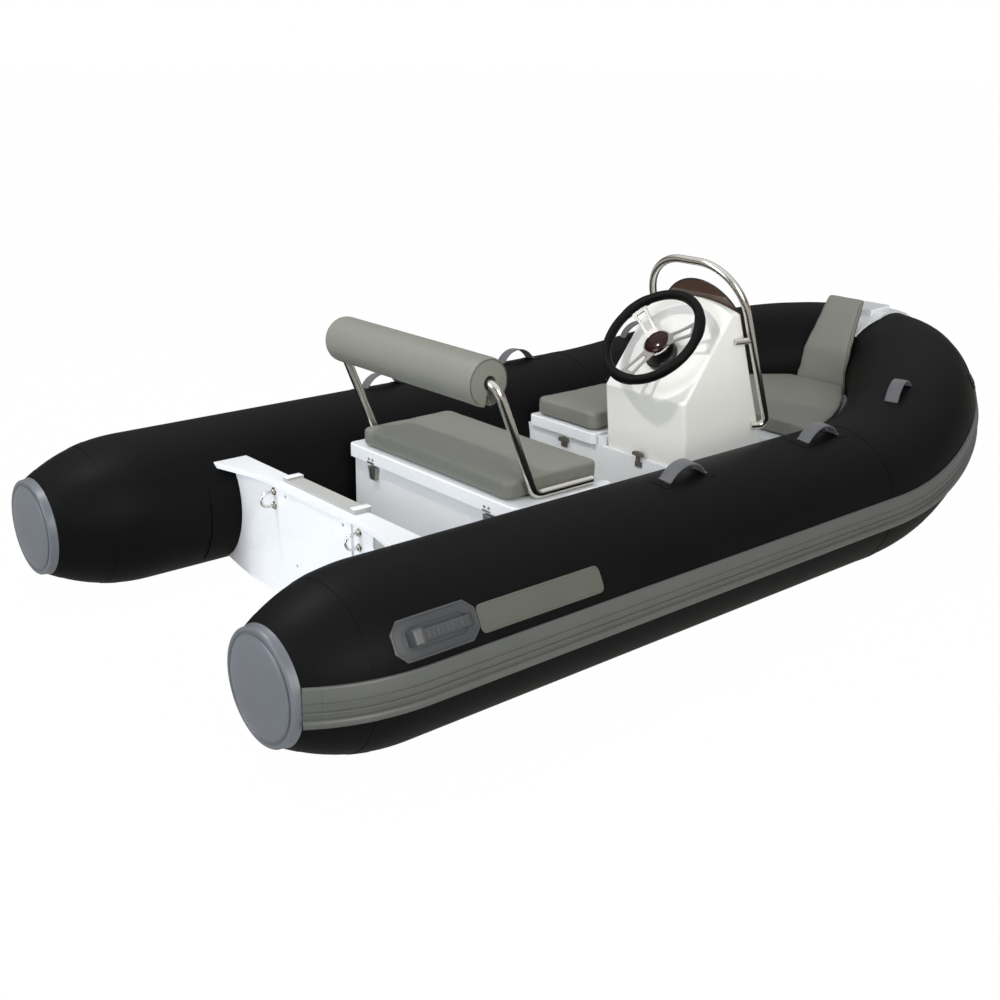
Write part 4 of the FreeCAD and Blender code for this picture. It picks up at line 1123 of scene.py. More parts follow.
def buildTowingEyes():
    upper, lower = boltPlaces()
    x, y, half = bolt["x"], transomFace, bolt["half"]
    middle, bend = (upper + lower) / 2, y - bolt["reach"] + half
    points = [Vector((x, y + bolt["root"], upper)), Vector((x, bend, upper))]
    for k in range(1, bolt["bends"]):
        swing = math.pi * k / bolt["bends"]
        points.append(Vector((x, bend - half * math.sin(swing), middle + half * math.cos(swing))))
    points += [Vector((x, bend, lower)), Vector((x, y + bolt["root"], lower))]
    eye = addPipe("towingEyeStarboard", points, bolt["bar"], 20)
    hole, thick, edge = bolt["washerHole"], bolt["washerThick"], bolt["washerEdge"]
    bore = bolt["nutHalf"] * bolt["nutBore"]
    parts = []
    for z in (upper, lower):
        washer = addTurned("washer", (x, y, z), (0, -1, 0), [
            (hole, 0.0), (bolt["washer"], 0.0), (bolt["washer"], thick - edge),
            (bolt["washer"] - edge, thick), (hole, thick)], 32)
        nut = addTurned("nut", (x, y - thick, z), (0, -1, 0), [
            (bore, 0.0), (bolt["nutHalf"], 0.0), (bolt["nutHalf"], bolt["nutHigh"] - bolt["nutEdge"]),
            (bolt["nutHalf"] * bolt["nutCrown"], bolt["nutHigh"]), (bore, bolt["nutHigh"])], 6)
        parts += [smooth(washer, 30), soften(nut, bolt["nutRound"], 2, 25)]
    finishPair(joinPieces(eye, *parts), "towingEyePort", "polishedSteel", "stainless", "u_bolts")


padClip = {"inset": 0.010, "wide": 0.024, "lift": 0.0004, "thick": 0.0016, "over": 0.002, "drop": 0.020,
           "edge": 0.0006}


def buildMotorPad():
    low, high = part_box("transom_pad")
    pad = dressed("transom_pad", "motorPad", 0.0018, 3)
    finishPiece(pad, "motorPad", "boat", "motor_pad", "transom_pad")
    clips = []
    for side in (-1, 1):
        x = side * (high.x - padClip["inset"])
        clip = addBlock("clip", (x, (low.y + high.y) / 2, high.z + padClip["lift"]),
                        (padClip["wide"], high.y - low.y + padClip["over"], padClip["thick"]))
        selectFaces(clip, lambda middle, normal: normal.y > 0.9)
        extrudeBy(0, padClip["thick"], 0)
        selectFaces(clip, lambda middle, normal: normal.z < -0.9 and middle.y > high.y)
        extrudeBy(0, 0, -padClip["drop"])
        endEdit()
        clips.append(smooth(soften(clip, padClip["edge"], 2)))
    clip = joinPieces(*clips)
    clip.name = "motorPadClips"
    finishPiece(clip, "gelcoat", "boat", "gelcoat")


drain = {"corner": 0.006, "border": 0.005, "dish": 0.0012, "lip": 0.0008, "dip": 0.0006,
         "edge": 0.0004, "screwInset": 0.0045, "screw": 0.0022, "screwHigh": 0.0010}


def buildDrainCover():
    low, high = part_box("drain_cover")
    middle = (low + high) / 2
    cover = addBlock("drainCover", middle, high - low)
    roundEdges(cover, lambda a, b: abs((a - b).y) > 0.001, drain["corner"], 5)
    selectFaces(cover, lambda spot, normal: normal.y < -0.9)
    bpy.ops.mesh.inset(thickness=drain["border"])
    extrudeBy(0, drain["dish"], 0)
    bpy.ops.mesh.inset(thickness=drain["lip"])
    extrudeBy(0, -drain["dip"], 0)
    endEdit()
    soften(cover, drain["edge"], 2)
    screws = []
    inset, radius = drain["screwInset"], drain["screw"]
    for x in (low.x + inset, high.x - inset):
        for z in (low.z + inset, high.z - inset):
            screw = addTurned("screw", (x, low.y, z), (0, -1, 0), [
                (radius, -0.0002), (radius, 0.0002), (radius - 0.0006, 0.0008),
                (0.0004, drain["screwHigh"])], 16)
            screws.append(smooth(screw, 40))
    cover = joinPieces(smooth(cover), *screws)
    cover.name = "drainCover"
    finishPiece(cover, "motorPad", "boat", "motor_pad", "drain_cover")


def buildTransomFlaps():
    flap = dressed("transom_flaps", "transomFlaps", 0.0)
    finishPiece(flap, "tubeFabric", "boat", "tube_fabric", "transom_flaps")


buildTowingEyes()
buildMotorPad()
buildDrainCover()
buildTransomFlaps()
print("transom fittings made")


# air valves on the bow
def buildValves():
    valve = dressed("air_valves", "airValves", 0.0006, 2, 24)
    finishPiece(valve, "blackPlastic", "boat", "black_plastic", "air_valves")


buildValves()


# catches, latches and hinges
catch = {"inset": 0.011, "wide": 0.037, "narrow": 0.027, "tall": 0.040, "proud": 0.014, "drop": 0.007,
         "border": 0.0026, "dish": 0.0022, "bar": 0.0024, "barOver": 0.0015, "barIn": 0.0012,
         "barBelow": 0.0028, "tongueWide": 0.012, "tongueThick": 0.0022, "tongueTall": 0.62,
         "tongueIn": 0.0008, "tongueBelow": 0.002,
         "keeper": (0.033, 0.0022, 0.0056), "keeperLift": 0.0032,
         "rivet": 0.0048, "rivetApart": 0.019, "rivetLift": 0.0135,
         "edge": 0.0008, "tongueEdge": 0.0007, "keeperEdge": 0.0006}


def addCatch(x, face, bottom):
    tall, front = catch["tall"], face - catch["proud"]
    body = addBlock("catch", (x, (face + front) / 2, bottom + tall / 2),
                    (catch["wide"], catch["proud"], tall))
    selectFaces(body, lambda middle, normal: normal.z < -0.9)
    share = catch["narrow"] / catch["wide"]
    bpy.ops.transform.resize(value=(share, 1, 1), center_override=(x, face, bottom))
    selectFaces(body, lambda middle, normal: normal.y < -0.9)
    bpy.ops.mesh.inset(thickness=catch["border"])
    extrudeBy(0, catch["dish"], 0)
    endEdit()
    soften(body, catch["edge"], 2, 25)
    reach = catch["wide"] / 2 + catch["barOver"]
    y, z = front + catch["barIn"], bottom + tall - catch["barBelow"]
    hookBar = addPipe("hookBar", [Vector((x - reach, y, z)), Vector((x + reach, y, z))], catch["bar"], 14)
    tongue = addBlock("tongue", (x, front + catch["tongueIn"], bottom + tall / 2 - catch["tongueBelow"]),
                      (catch["tongueWide"], catch["tongueThick"], tall * catch["tongueTall"]))
    soften(tongue, catch["tongueEdge"], 2)
    return [smooth(body), hookBar, smooth(tongue)]


# the keeper and its two rivets, on the lid's rim
def addKeeper(x, face, bottom):
    keeper = addBlock("keeper", (x, face - catch["keeper"][1] / 2, bottom + catch["keeperLift"]),
                      catch["keeper"])
    soften(keeper, catch["keeperEdge"], 2)
    pieces = [smooth(keeper)]
    radius = catch["rivet"]
    for side in (-1, 1):
        rivet = addTurned("rivet", (x + side * catch["rivetApart"] / 2, face, bottom + catch["rivetLift"]),
                          (0, -1, 0), [(radius, -0.0004), (radius, 0.0004), (radius * 0.8, 0.0013),
                                       (radius * 0.4, 0.0019), (0.0002, 0.0020)], 20)
        pieces.append(smooth(rivet, 50))
    return pieces


def buildCatches():
    low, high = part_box("aft_latches")
    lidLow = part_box("aft_seat_lid")[0]
    bodies, rivets = [], []
    for x in (low.x + catch["inset"], high.x - catch["inset"]):
        bodies += addCatch(x, high.y, high.z - catch["drop"] - catch["tall"])
        rivets += addKeeper(x, lidLow.y, lidLow.z)
    body, keeper = joinPieces(*bodies), joinPieces(*rivets)
    body.name, keeper.name = "aftCatches", "aftCatchKeepers"
    finishPiece(body, "dullSteel", "boat", "latch_metal", "aft_latches")
    finishPiece(keeper, "dullSteel", "aft_lid", "latch_metal")


pull = {"gripHalf": 0.0215, "gripHigh": 0.0155, "gripDeep": 0.0125, "gripGap": 0.0006, "thinEnds": 0.3,
        "droop": 0.0016, "stemHalf": 0.0052, "stemDeep": 0.0058, "stemOut": 0.0052, "stemTop": 1.7,
        "stemFoot": 1.5, "footHalf": 0.0145, "footHigh": 0.018, "footDeep": 0.0046, "footOut": 0.0026,
        "pin": 0.0024, "pinOut": 0.0048, "pinShare": 0.62, "stemTopDeep": 1.2,
        "stemEdge": 0.0018, "footEdge": 0.0022}


# the grip's ends droop a little and are thinner than its middle
def addPullGrip(x, seat, level):
    grip = addBlock("grip", (x, seat - pull["gripDeep"] / 2 - pull["gripGap"], level),
                    (2 * pull["gripHalf"], pull["gripDeep"], pull["gripHigh"]))
    editAll()
    bpy.ops.mesh.subdivide(number_cuts=3)
    endEdit()
    for vertex in grip.data.vertices:
        out = (abs(vertex.co.x - x) / pull["gripHalf"]) ** 2
        vertex.co.z = level + (vertex.co.z - level) * (1 - pull["thinEnds"] * out) - pull["droop"] * out
    modify(grip, "SUBSURF", levels=2)
    return smooth(grip, 60)


def buildPullLatch(node, name):
    low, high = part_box(node)
    x, seat = (low.x + high.x) / 2, high.y
    stemTop, stemLow = high.z - pull["gripHigh"] / 2, low.z + pull["footHigh"] / 2
    grip = addPullGrip(x, seat, stemTop)
    stem = addBlock("stem", (x, seat - pull["stemOut"], (stemTop + stemLow) / 2),
                    (2 * pull["stemHalf"], pull["stemDeep"], stemTop - stemLow))
    selectFaces(stem, lambda middle, normal: normal.z > 0.9)
    bpy.ops.transform.resize(value=(pull["stemTop"], pull["stemTopDeep"], 1))
    selectFaces(stem, lambda middle, normal: normal.z < -0.9)
    bpy.ops.transform.resize(value=(pull["stemFoot"], 1, 1))
    endEdit()
    soften(stem, pull["stemEdge"], 3)
    foot = addBlock("foot", (x, seat - pull["footOut"], stemLow),
                    (2 * pull["footHalf"], pull["footDeep"], pull["footHigh"]))
    soften(foot, pull["footEdge"], 4)
    pins = []
    for side in (-1, 1):
        place = (x + side * pull["footHalf"] * pull["pinShare"], seat - pull["pinOut"], stemLow)
        pin = addTurned("pin", place, (0, -1, 0), [
            (pull["pin"], -0.0004), (pull["pin"], 0.0003), (0.0015, 0.0011), (0.0002, 0.0013)], 14)
        pins.append(smooth(pin, 50))
    latch = joinPieces(grip, smooth(stem, 50), smooth(foot, 50), *pins)
    latch.name = name
    finishPiece(latch, "latchRubber", "boat", "latch_rubber", node)


def finishHinges():
    for node in ("fixed_hinges", "aft_lid_hinge", "port_lid_hinge", "console_hinge"):
        nodes[node].data.materials.clear()
        nodes[node].data.materials.append(finishes["dullSteel"])


buildCatches()
buildPullLatch("port_latch", "portPullLatch")
buildPullLatch("console_latch", "consolePullLatch")
finishHinges()
print("catches and hinges made")


# helm: screen, bezel, wheel and grab rail
helm = {"middle": Vector((0.133, 0.020, 0.654)), "rake": 46, "radius": 0.159, "grip": 0.0150,
        "swell": 0.14, "swellReach": 17, "steps": 180, "spokes": [25, 145, 265],
        "seamIn": 0.93, "seamBelow": 0.004, "seam": 0.0011, "seamSteps": 120,
        "hubRadius": 0.043, "hubBase": -0.0347, "hubHigh": 0.0185, "hubRound": 0.0008, "hubFoot": 0.003,
        "hubSteps": 14, "collarIn": 0.003, "collarOut": 0.0050, "collarHigh": 0.0040, "collarBelow": 0.0006}
console = {"x": 0.138, "half": 0.169}
rail = {"radius": 0.012, "half": 0.192, "top": 0.873, "station": 0.168, "lean": 20.7, "foot": 0.360,
        "footRun": 0.052, "archRadius": 0.155, "bend": 0.022, "post": 0.0098, "postHeight": 0.643,
        "postStation": 0.200, "postRise": 0.004, "gap": 0.0003}


def cutAway(piece, tool):
    modify(piece, "BOOLEAN", operation="DIFFERENCE", object=tool, solver="EXACT")
    bpy.data.objects.remove(tool)
    return piece


def tilted(radius, swing, along):
    turn = math.radians(swing)
    spot = Vector((radius * math.cos(turn), radius * math.sin(turn), along))
    return helm["middle"] + Matrix.Rotation(math.radians(helm["rake"]), 3, "X") @ spot


def tiltAxis():
    rake = math.radians(helm["rake"])
    return Vector((0, -math.sin(rake), math.cos(rake)))


spoke = {"inner": 0.036, "outer": 0.151, "halfInner": 0.0205, "halfOuter": 0.0275, "arm": 0.0125,
         "windowInner": 0.058, "windowOuter": 0.128, "windowCorner": 0.0045, "thick": 0.0052,
         "innerDrop": -0.030, "outerDrop": -0.0015, "waist": 0.16, "waistSlices": 16, "edge": 0.0011}


def spokeShare(x):
    return (x - spoke["inner"]) / (spoke["outer"] - spoke["inner"])


# a spoke: a flat plate that widens to the rim, with a window through its middle
def addSpoke(swing):
    middle = (spoke["inner"] + spoke["outer"]) / 2
    piece = addBlock("spoke", (middle, 0, 0), (spoke["outer"] - spoke["inner"], 2, spoke["thick"]))
    window = addBlock("window", ((spoke["windowInner"] + spoke["windowOuter"]) / 2, 0, 0),
                      (spoke["windowOuter"] - spoke["windowInner"], 2, 3 * spoke["thick"]))
    for block, less in ((piece, 0.0), (window, spoke["arm"])):
        for vertex in block.data.vertices:
            widening = (spoke["halfOuter"] - spoke["halfInner"]) * spokeShare(vertex.co.x)
            vertex.co.y = math.copysign(spoke["halfInner"] + widening - less, vertex.co.y)
    roundEdges(window, lambda a, b: abs((a - b).z) > 0.002, spoke["windowCorner"], 4)
    cutAway(piece, window)
    # waists each side, half way along
    sliceAcross(piece, spoke["inner"], spoke["outer"], spoke["waistSlices"], along="x")
    for vertex in piece.data.vertices:
        if abs(vertex.co.y) > spoke["halfInner"] - 0.003:
            share = min(max(spokeShare(vertex.co.x), 0), 1)
            vertex.co.y *= 1 - spoke["waist"] * math.sin(math.pi * share) ** 2
    soften(piece, spoke["edge"], 2, 30)
    for vertex in piece.data.vertices:
        rise = (spoke["outerDrop"] - spoke["innerDrop"]) * spokeShare(vertex.co.x)
        along = spoke["innerDrop"] + rise + vertex.co.z
        flat = Matrix.Rotation(math.radians(swing), 3, "Z") @ Vector((vertex.co.x, vertex.co.y, along))
        vertex.co = helm["middle"] + Matrix.Rotation(math.radians(helm["rake"]), 3, "X") @ flat
    return crisp(piece, 35)


def buildWheel():
    points, radii = [], []
    for k in range(helm["steps"]):
        swing = 360 * k / helm["steps"]
        points.append(tilted(helm["radius"], swing, 0))
        gap = min(abs((swing - middle + 180) % 360 - 180) for middle in helm["spokes"])
        radii.append(1 + helm["swell"] * max(0.0, 1 - (gap / helm["swellReach"]) ** 4))
    rim = addPipe("wheelRim", points, helm["grip"], 28, closed=True, radii=radii)
    # a stitched seam runs round the inside of the rim
    seamPoints = [tilted(helm["radius"] - helm["grip"] * helm["seamIn"], 360 * k / helm["seamSteps"],
                         -helm["seamBelow"]) for k in range(helm["seamSteps"])]
    seam = addPipe("wheelSeam", seamPoints, helm["seam"], 8, closed=True)
    spokes = joinPieces(*[addSpoke(swing) for swing in helm["spokes"]])
    spokes.name = "wheelSpokes"
    radius, foot, crown = helm["hubRadius"], helm["hubFoot"], helm["hubRound"]
    outline = [(radius, 0.0), (radius + 0.0004, 0.0022)]
    for k in range(1, helm["hubSteps"] + 1):
        swing = k / helm["hubSteps"] * math.pi / 2
        outline.append(((radius - crown) * math.cos(swing) + crown,
                        foot + (helm["hubHigh"] - foot) * math.sin(swing)))
    hub = addTurned("wheelHub", helm["middle"] + tiltAxis() * helm["hubBase"], tiltAxis(), outline, 72)
    smooth(hub, 60)
    inner, outer, high = radius - helm["collarIn"], radius + helm["collarOut"], helm["collarHigh"]
    collarFoot = helm["middle"] + tiltAxis() * (helm["hubBase"] - helm["collarBelow"])
    collar = addTurned("hubCollar", collarFoot, tiltAxis(), [
        (inner, 0.0), (outer - 0.0008, 0.0), (outer, high - 0.0028), (outer - 0.0006, high - 0.0010),
        (outer - 0.0034, high), (inner, high)], 72)
    smooth(collar, 40)
    spokes = joinPieces(spokes, collar)
    finishPiece(rim, "wheelGrip", "wheel", "wheel_grip", "steering_rim")
    finishPiece(seam, "blackPlastic", "wheel", "wheel_grip")
    finishPiece(spokes, "castSteel", "wheel", "stainless", "steering_spokes")
    finishPiece(hub, "hubGloss", "wheel", "hub_cap", "steering_hub")


def buildBezel():
    bezel = dressed("helm_bezel", "helmBezel", 0.0012, 3, 30)
    finishPiece(bezel, "blackPlastic", "console", "black_plastic", "helm_bezel")


def leanPoint(x, z):
    return Vector((x, rail["station"] + (rail["top"] - z) * math.tan(math.radians(rail["lean"])), z))


def buildGrabRail():
    right, left = console["x"] + rail["half"], console["x"] - rail["half"]
    side = console["half"] + rail["gap"]
    footY = leanPoint(0, rail["foot"]).y - rail["footRun"]
    corners = [
        Vector((console["x"] + side, footY, rail["foot"])),
        leanPoint(right, rail["foot"]), leanPoint(right, rail["top"]),
        leanPoint(left, rail["top"]), leanPoint(left, rail["foot"]),
        Vector((console["x"] - side, footY, rail["foot"]))]
    run = roundedRun(corners, [rail["bend"], rail["archRadius"], rail["archRadius"], rail["bend"]], 28)
    pipe = addPipe("grabRail", run, rail["radius"], 36)
    posts = []
    for way in (-1, 1):
        start = Vector((console["x"] + way * side, rail["postStation"], rail["postHeight"]))
        end = leanPoint(console["x"] + way * rail["half"], rail["postHeight"] + rail["postRise"])
        posts.append(addPipe("post", [start, end], rail["post"], 24))
    pipe = joinPieces(pipe, *posts)
    pipe.name = "grabRail"
    finishPiece(pipe, "polishedSteel", "console", "stainless", "grab_rail")


screenTrim = {"radius": 0.0030, "steps": 36, "sheet": 0.004}


def buildScreen():
    screen = dressed("windscreen", "windscreen", 0.0006, 2, 30)
    low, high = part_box("windscreen")
    # a black trim follows the sheet's upper edge, an arc that leans with the sheet
    reach, tall = (high.x - low.x) / 2, high.z - low.z
    bend = (reach ** 2 + tall ** 2) / (2 * tall)
    lean = (high.y - low.y - screenTrim["sheet"]) / tall
    widest = math.asin(reach / bend)
    points = []
    for k in range(screenTrim["steps"] + 1):
        turn = -widest + 2 * widest * k / screenTrim["steps"]
        z = high.z - bend * (1 - math.cos(turn))
        y = high.y - screenTrim["sheet"] / 2 - (z - low.z) * lean
        points.append(Vector((console["x"] + bend * math.sin(turn), y, z)))
    trim = addPipe("screenTrim", points, screenTrim["radius"], 12)
    finishPiece(screen, "tintedScreen", "console", "tinted_screen", "windscreen")
    finishPiece(trim, "blackPlastic", "console", "black_plastic")


buildWheel()
buildBezel()
buildGrabRail()
buildScreen()
print("helm and grab rail made")


# backrest frame of the aft seat
rest = {"x": 0.358, "foot": 0.3493, "front": -0.450, "corner": -0.660, "station": -0.799,
        "height": 0.674, "radius": 0.013, "bends": [0.034, 0.044, 0.044, 0.034],
        "plugOver": 0.0006, "plugSunk": 0.0002}


def buildBackrestFrame():
    x, foot, radius, over = rest["x"], rest["foot"], rest["radius"], rest["plugOver"]
    half = [Vector((x, rest["front"], foot)), Vector((x, rest["corner"], foot)),
            Vector((x, rest["station"], rest["height"]))]
    corners = half + [Vector((-spot.x, spot.y, spot.z)) for spot in reversed(half)]
    pipe = addPipe("backrestFrame", roundedRun(corners, rest["bends"], 14), radius, 32)
    plugs = []
    for side in (-1, 1):
        plug = addTurned("plug", (side * x, rest["front"] - rest["plugSunk"], foot), (0, 1, 0), [
            (radius - over, 0.0), (radius + over, 0.0004), (radius + over, 0.0022),
            (radius - 0.002, 0.0044), (0.0004, 0.0052)], 32)
        plugs.append(smooth(plug, 45))
    pipe = joinPieces(pipe, *plugs)
    pipe.name = "backrestFrame"
    finishPiece(pipe, "polishedSteel", "aft_lid", "stainless", "backrest_frame")


buildBackrestFrame()
print("backrest frame made")


# upholstery: foam pads under vinyl, swollen by cloth and pressed flat where they rest
def dentSides(piece, amount):
    spots = [vertex.co for vertex in piece.data.vertices]
    lowX, highX = min(c.x for c in spots), max(c.x for c in spots)
    lowY, highY = min(c.y for c in spots), max(c.y for c in spots)
    for spot in spots:
        across = (2 * spot.x - lowX - highX) / (highX - lowX)
        along = (2 * spot.y - lowY - highY) / (highY - lowY)
        spot.x -= amount * across * (1 - along ** 2)
        spot.y -= amount * along * (1 - across ** 2)


foam = {"pressure": 4.0, "quality": 4, "steps": 20, "rounding": 0.5, "settleReach": 0.02}


def inflate(piece, voxel, shrink, cap, dent=0.0, rounds=5):
    modify(piece, "REMESH", mode="VOXEL", voxel_size=voxel)
    modify(piece, "SMOOTH", factor=foam["rounding"], iterations=rounds)
    modify(piece, "DISPLACE", strength=-shrink, mid_level=0)
    if dent:
        dentSides(piece, dent)
    homes = [vertex.co.copy() for vertex in piece.data.vertices]
    pick(piece)
    cloth = piece.modifiers.new("cloth", "CLOTH")
    cloth.settings.quality = foam["quality"]
    cloth.settings.use_pressure = True
    cloth.settings.uniform_pressure_force = foam["pressure"]
    cloth.settings.effector_weights.gravity = 0
    for step in range(1, foam["steps"] + 1):
        bpy.context.scene.frame_set(step)
    bpy.ops.object.modifier_apply(modifier=cloth.name)
    bpy.context.scene.frame_set(1)
    longest = max((vertex.co - home).length for vertex, home in zip(piece.data.vertices, homes))
    share = min(1.0, cap / longest)
    for vertex, home in zip(piece.data.vertices, homes):
        vertex.co = home + (vertex.co - home) * share
    print(piece.name, "swelled by", round(longest * share * 1000, 1), "mm")
    modify(piece, "SUBSURF", levels=1)
    return smooth(piece, 60)


# the pad is flat where it rests, and its foam settles down to what carries it
def settlePad(pad, level):
    for vertex in pad.data.vertices:
        vertex.co.z = max(vertex.co.z, level)
    bottom = min(vertex.co.z for vertex in pad.data.vertices)
    for vertex in pad.data.vertices:
        share = max(0.0, 1 - (vertex.co.z - bottom) / foam["settleReach"])
        vertex.co.z -= (bottom - level) * share


def addPad(name, low, high, corner, top, bottom):
    pad = addBlock(name, (low + high) / 2, high - low)
    roundEdges(pad, lambda a, b: abs((a - b).z) > 0.01, corner, 7)
    roundEdges(pad, lambda a, b: min(a.z, b.z) > high.z - 0.0005, top, 5)
    roundEdges(pad, lambda a, b: max(a.z, b.z) < low.z + 0.0005, bottom, 4)
    return pad


# a sewn line: guide points are brought to the surface and a thread follows them
def addSeam(name, piece, guides, radius=0.0010):
    bpy.context.view_layer.update()
    points = []
    for guide in guides:
        spot, normal = piece.closest_point_on_mesh(guide)[1:3]
        points.append(spot + normal * radius * 0.2)
    return addPipe(name, points, radius, 8)


cushions = {
    "aft_cushion": {"name": "aftCushion", "body": "aft_lid", "wider": 0.012, "corner": 0.034,
                    "top": 0.015, "bottom": 0.012},
    "port_cushion": {"name": "portCushion", "body": "port_lid", "wider": 0.0, "corner": 0.036,
                     "top": 0.015, "bottom": 0.011}}
cushionFoam = {"voxel": 0.006, "shrink": 0.005, "swell": 0.008, "dent": 0.003}


def buildCushions():
    for node, shape in cushions.items():
        low, high = (Vector(c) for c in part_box(node))
        low.x, high.x = low.x - shape["wider"], high.x + shape["wider"]
        pad = addPad(shape["name"], low, high, shape["corner"], shape["top"], shape["bottom"])
        inflate(pad, cushionFoam["voxel"], cushionFoam["shrink"], cushionFoam["swell"],
                dent=cushionFoam["dent"])
        settlePad(pad, low.z)
        finishPiece(pad, "cushionVinyl", shape["body"], "cushion_vinyl", node)


bowPad = {"corner": 0.030, "top": 0.012, "voxel": 0.008, "shrink": 0.004, "swell": 0.007,
          "thin": 0.012, "thinOver": 0.7}


def buildBowCushion():
    pad = dressed("bow_cushion", "bowCushion", 0.0)
    low, high = (Vector(c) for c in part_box("bow_cushion"))
    roundEdges(pad, lambda a, b: abs((a - b).z) > 0.02 and max(a.y, b.y) > high.y - 0.004,
               bowPad["corner"], 7)
    roundEdges(pad, lambda a, b: min(a.z, b.z) > high.z - 0.0005, bowPad["top"], 4)
    inflate(pad, bowPad["voxel"], bowPad["shrink"], bowPad["swell"])
    # the pad thins towards the bow
    for vertex in pad.data.vertices:
        ahead = (vertex.co.y - low.y) / (bowPad["thinOver"] * (high.y - low.y))
        upper = max(0.0, (vertex.co.z - low.z) / (high.z - low.z))
        vertex.co.z -= bowPad["thin"] * min(max(ahead, 0.0), 1.0) * upper
    settlePad(pad, low.z)
    finishPiece(pad, "cushionVinyl", "boat", "cushion_vinyl", "bow_cushion")


bowRest = {"voxel": 0.006, "shrink": 0.001, "swell": 0.005, "rounds": 44, "spread": 0.006, "sag": 0.004,
           "seamFrom": 0.04, "seamSteps": 40, "ring": 0.006, "rear": 0.030,
           "seamIn": 0.002, "seamBehind": 0.004}


def buildBowBackrest():
    pad = dressed("bow_backrest", "bowBackrest", 0.0)
    low, high = (Vector(c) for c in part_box("bow_backrest"))
    inflate(pad, bowRest["voxel"], bowRest["shrink"], bowRest["swell"], rounds=bowRest["rounds"])
    tall = high.z - low.z
    # the pad sits down on its lower edge, which is a little wider than the rest
    for vertex in pad.data.vertices:
        down = min(max((high.z - vertex.co.z) / tall, 0.0), 1.0) ** 2
        vertex.co.x += math.copysign(bowRest["spread"] * down, vertex.co.x)
        vertex.co.z -= bowRest["sag"] * down
    # a seam up each side, on the rear edge
    seams = []
    for side in (-1, 1):
        guides = []
        for k in range(bowRest["seamSteps"] + 1):
            share = bowRest["seamFrom"] + (1 - 2 * bowRest["seamFrom"]) * k / bowRest["seamSteps"]
            z = low.z + tall * share
            ring = [v.co for v in pad.data.vertices if abs(v.co.z - z) < bowRest["ring"]]
            edge = max(side * spot.x for spot in ring)
            after = min(spot.y for spot in ring if side * spot.x > edge - bowRest["rear"])
            guides.append(Vector((side * (edge - bowRest["seamIn"]), after - bowRest["seamBehind"], z)))
        seams.append(addSeam("seam", pad, guides))
    seam = joinPieces(*seams)
    seam.name = "bowBackrestSeams"
    finishPiece(pad, "cushionVinyl", "boat", "cushion_vinyl", "bow_backrest")
    finishPiece(seam, "seamThread", "boat", "cushion_vinyl")


# the roll on the backrest frame, slit from below at both ends to slip over the pipe
roll = {"radius": 0.0695, "half": 0.331, "edge": 0.010, "rings": 7, "endRings": 5, "endHollow": 0.0006,
        "voxel": 0.006, "shrink": 0.0035, "swell": 0.005, "hangFrom": 0.5, "hang": 0.0012, "ripple": 0.0011,
        "slitDeep": 0.050, "slitHalf": 0.0065, "slitSpread": 0.0135, "slitRound": 0.001, "hole": 0.0195,
        "seam": 0.0635, "thread": 0.0015, "seamSteps": 96, "seamGap": 9, "seamOut": 0.004,
        "lapIn": 0.016, "lapBehind": 0.018, "lapWave": 0.0022, "lapThread": 0.0013, "lapSteps": 69}
slitFlap = {"in": 0.006, "bow": 0.010, "start": 0.004, "lean": 0.0055, "below": 0.002, "reach": 0.72,
            "steps": 8, "half": 0.0055, "thick": 0.0008, "round": 0.0006}


def addSlit(side):
    end = side * (roll["half"] + 0.02)
    start = side * (roll["half"] - roll["slitDeep"])
    middle = Vector(((start + end) / 2, rest["station"], rest["height"]))
    hole = addTurned("hole", (min(start, end), rest["station"], rest["height"]), (1, 0, 0),
                     [(roll["hole"], 0.0), (roll["hole"], abs(end - start))], 24)
    wedge = addBlock("wedge", middle - Vector((0, 0, roll["radius"] * 0.6)),
                     (abs(end - start), 2 * roll["slitHalf"], roll["radius"] * 1.2))
    selectFaces(wedge, lambda spot, normal: normal.z < -0.9)
    bpy.ops.transform.resize(value=(1, roll["slitSpread"] / roll["slitHalf"], 1))
    endEdit()
    soften(wedge, roll["slitRound"], 2)
    return hole, wedge


# a narrow flap of the cover hangs beside each slit
def addFlap(side):
    points = []
    for k in range(slitFlap["steps"] + 1):
        share = k / slitFlap["steps"]
        x = roll["half"] - slitFlap["in"] - slitFlap["bow"] * math.sin(share * math.pi)
        drop = roll["hole"] + slitFlap["below"] + slitFlap["reach"] * (roll["radius"] - roll["hole"]) * share
        y = rest["station"] + slitFlap["start"] + slitFlap["lean"] * share
        points.append(Vector((side * x, y, rest["height"] - drop)))
    half, thick = slitFlap["half"], slitFlap["thick"]
    flap = addSweep("flap", points, [(-half, -thick), (half, -thick), (half, thick), (-half, thick)])
    return soften(flap, slitFlap["round"], 2)


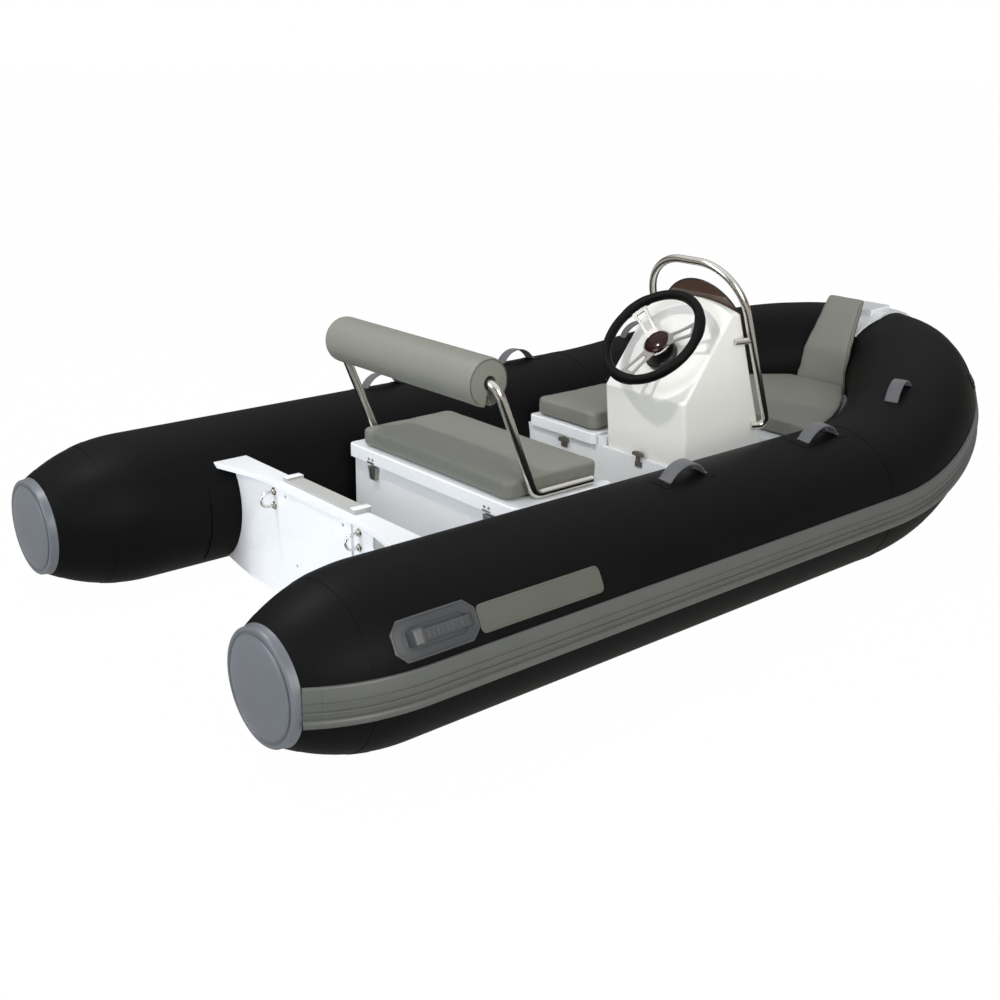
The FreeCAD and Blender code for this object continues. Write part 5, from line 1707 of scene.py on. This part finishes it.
def buildRoll():
    radius, half, edge, rings, inner = (roll[key] for key in ("radius", "half", "edge", "rings", "endRings"))
    station, height = rest["station"], rest["height"]
    outline = [(0.004, 0.0)]
    for k in range(1, inner + 1):
        outline.append(((radius - edge) * k / inner, -roll["endHollow"] * (inner - k)))
    for k in range(1, rings + 1):
        swing = math.pi / 2 * k / rings
        outline.append((radius - edge + edge * math.sin(swing), edge * (1 - math.cos(swing))))
    back = [(out, 2 * half - along) for out, along in reversed(outline)]
    pad = addTurned("backrestRoll", (-half, station, height), (1, 0, 0), outline + back, 64)
    inflate(pad, roll["voxel"], roll["shrink"], roll["swell"])
    # the cover hangs a little loose below
    for vertex in pad.data.vertices:
        low = max(0.0, (height - vertex.co.z) / radius - roll["hangFrom"])
        slack = math.sin(vertex.co.x * 17 + 1.2) + 0.6 * math.sin(vertex.co.x * 41 + 0.4)
        vertex.co.z -= low * (roll["hang"] + roll["ripple"] * slack)
    # a seam round each end, open where the slit is
    seams = []
    for side in (-1, 1):
        guides = []
        for k in range(roll["seamGap"], roll["seamSteps"] - roll["seamGap"] + 1):
            swing = 2 * math.pi * k / roll["seamSteps"]
            guides.append(Vector((side * (half + roll["seamOut"]), station + roll["seam"] * math.sin(swing),
                                  height - roll["seam"] * math.cos(swing))))
        seams.append(addSeam("ring", pad, guides, roll["thread"]))
        for tool in addSlit(side):
            cutAway(pad, tool)
    # the cover's lower edges overlap along the underside
    lap, reach = [], half - roll["lapIn"]
    for k in range(roll["lapSteps"] + 1):
        x = -reach + 2 * reach * k / roll["lapSteps"]
        y = station + roll["lapBehind"] + roll["lapWave"] * math.sin(x * 23)
        lap.append(Vector((x, y, height - radius)))
    seams.append(addSeam("lap", pad, lap, roll["lapThread"]))
    seam = joinPieces(*seams)
    seam.name = "backrestRollSeams"
    flap = joinPieces(addFlap(-1), addFlap(1))
    flap.name = "backrestRollFlaps"
    smooth(pad, 50)
    finishPiece(pad, "cushionVinyl", "aft_lid", "cushion_vinyl", "backrest_roll")
    finishPiece(flap, "cushionVinyl", "aft_lid", "cushion_vinyl")
    finishPiece(seam, "seamThread", "aft_lid", "cushion_vinyl")


buildCushions()
buildBowCushion()
buildBowBackrest()
buildRoll()
print("upholstery made")
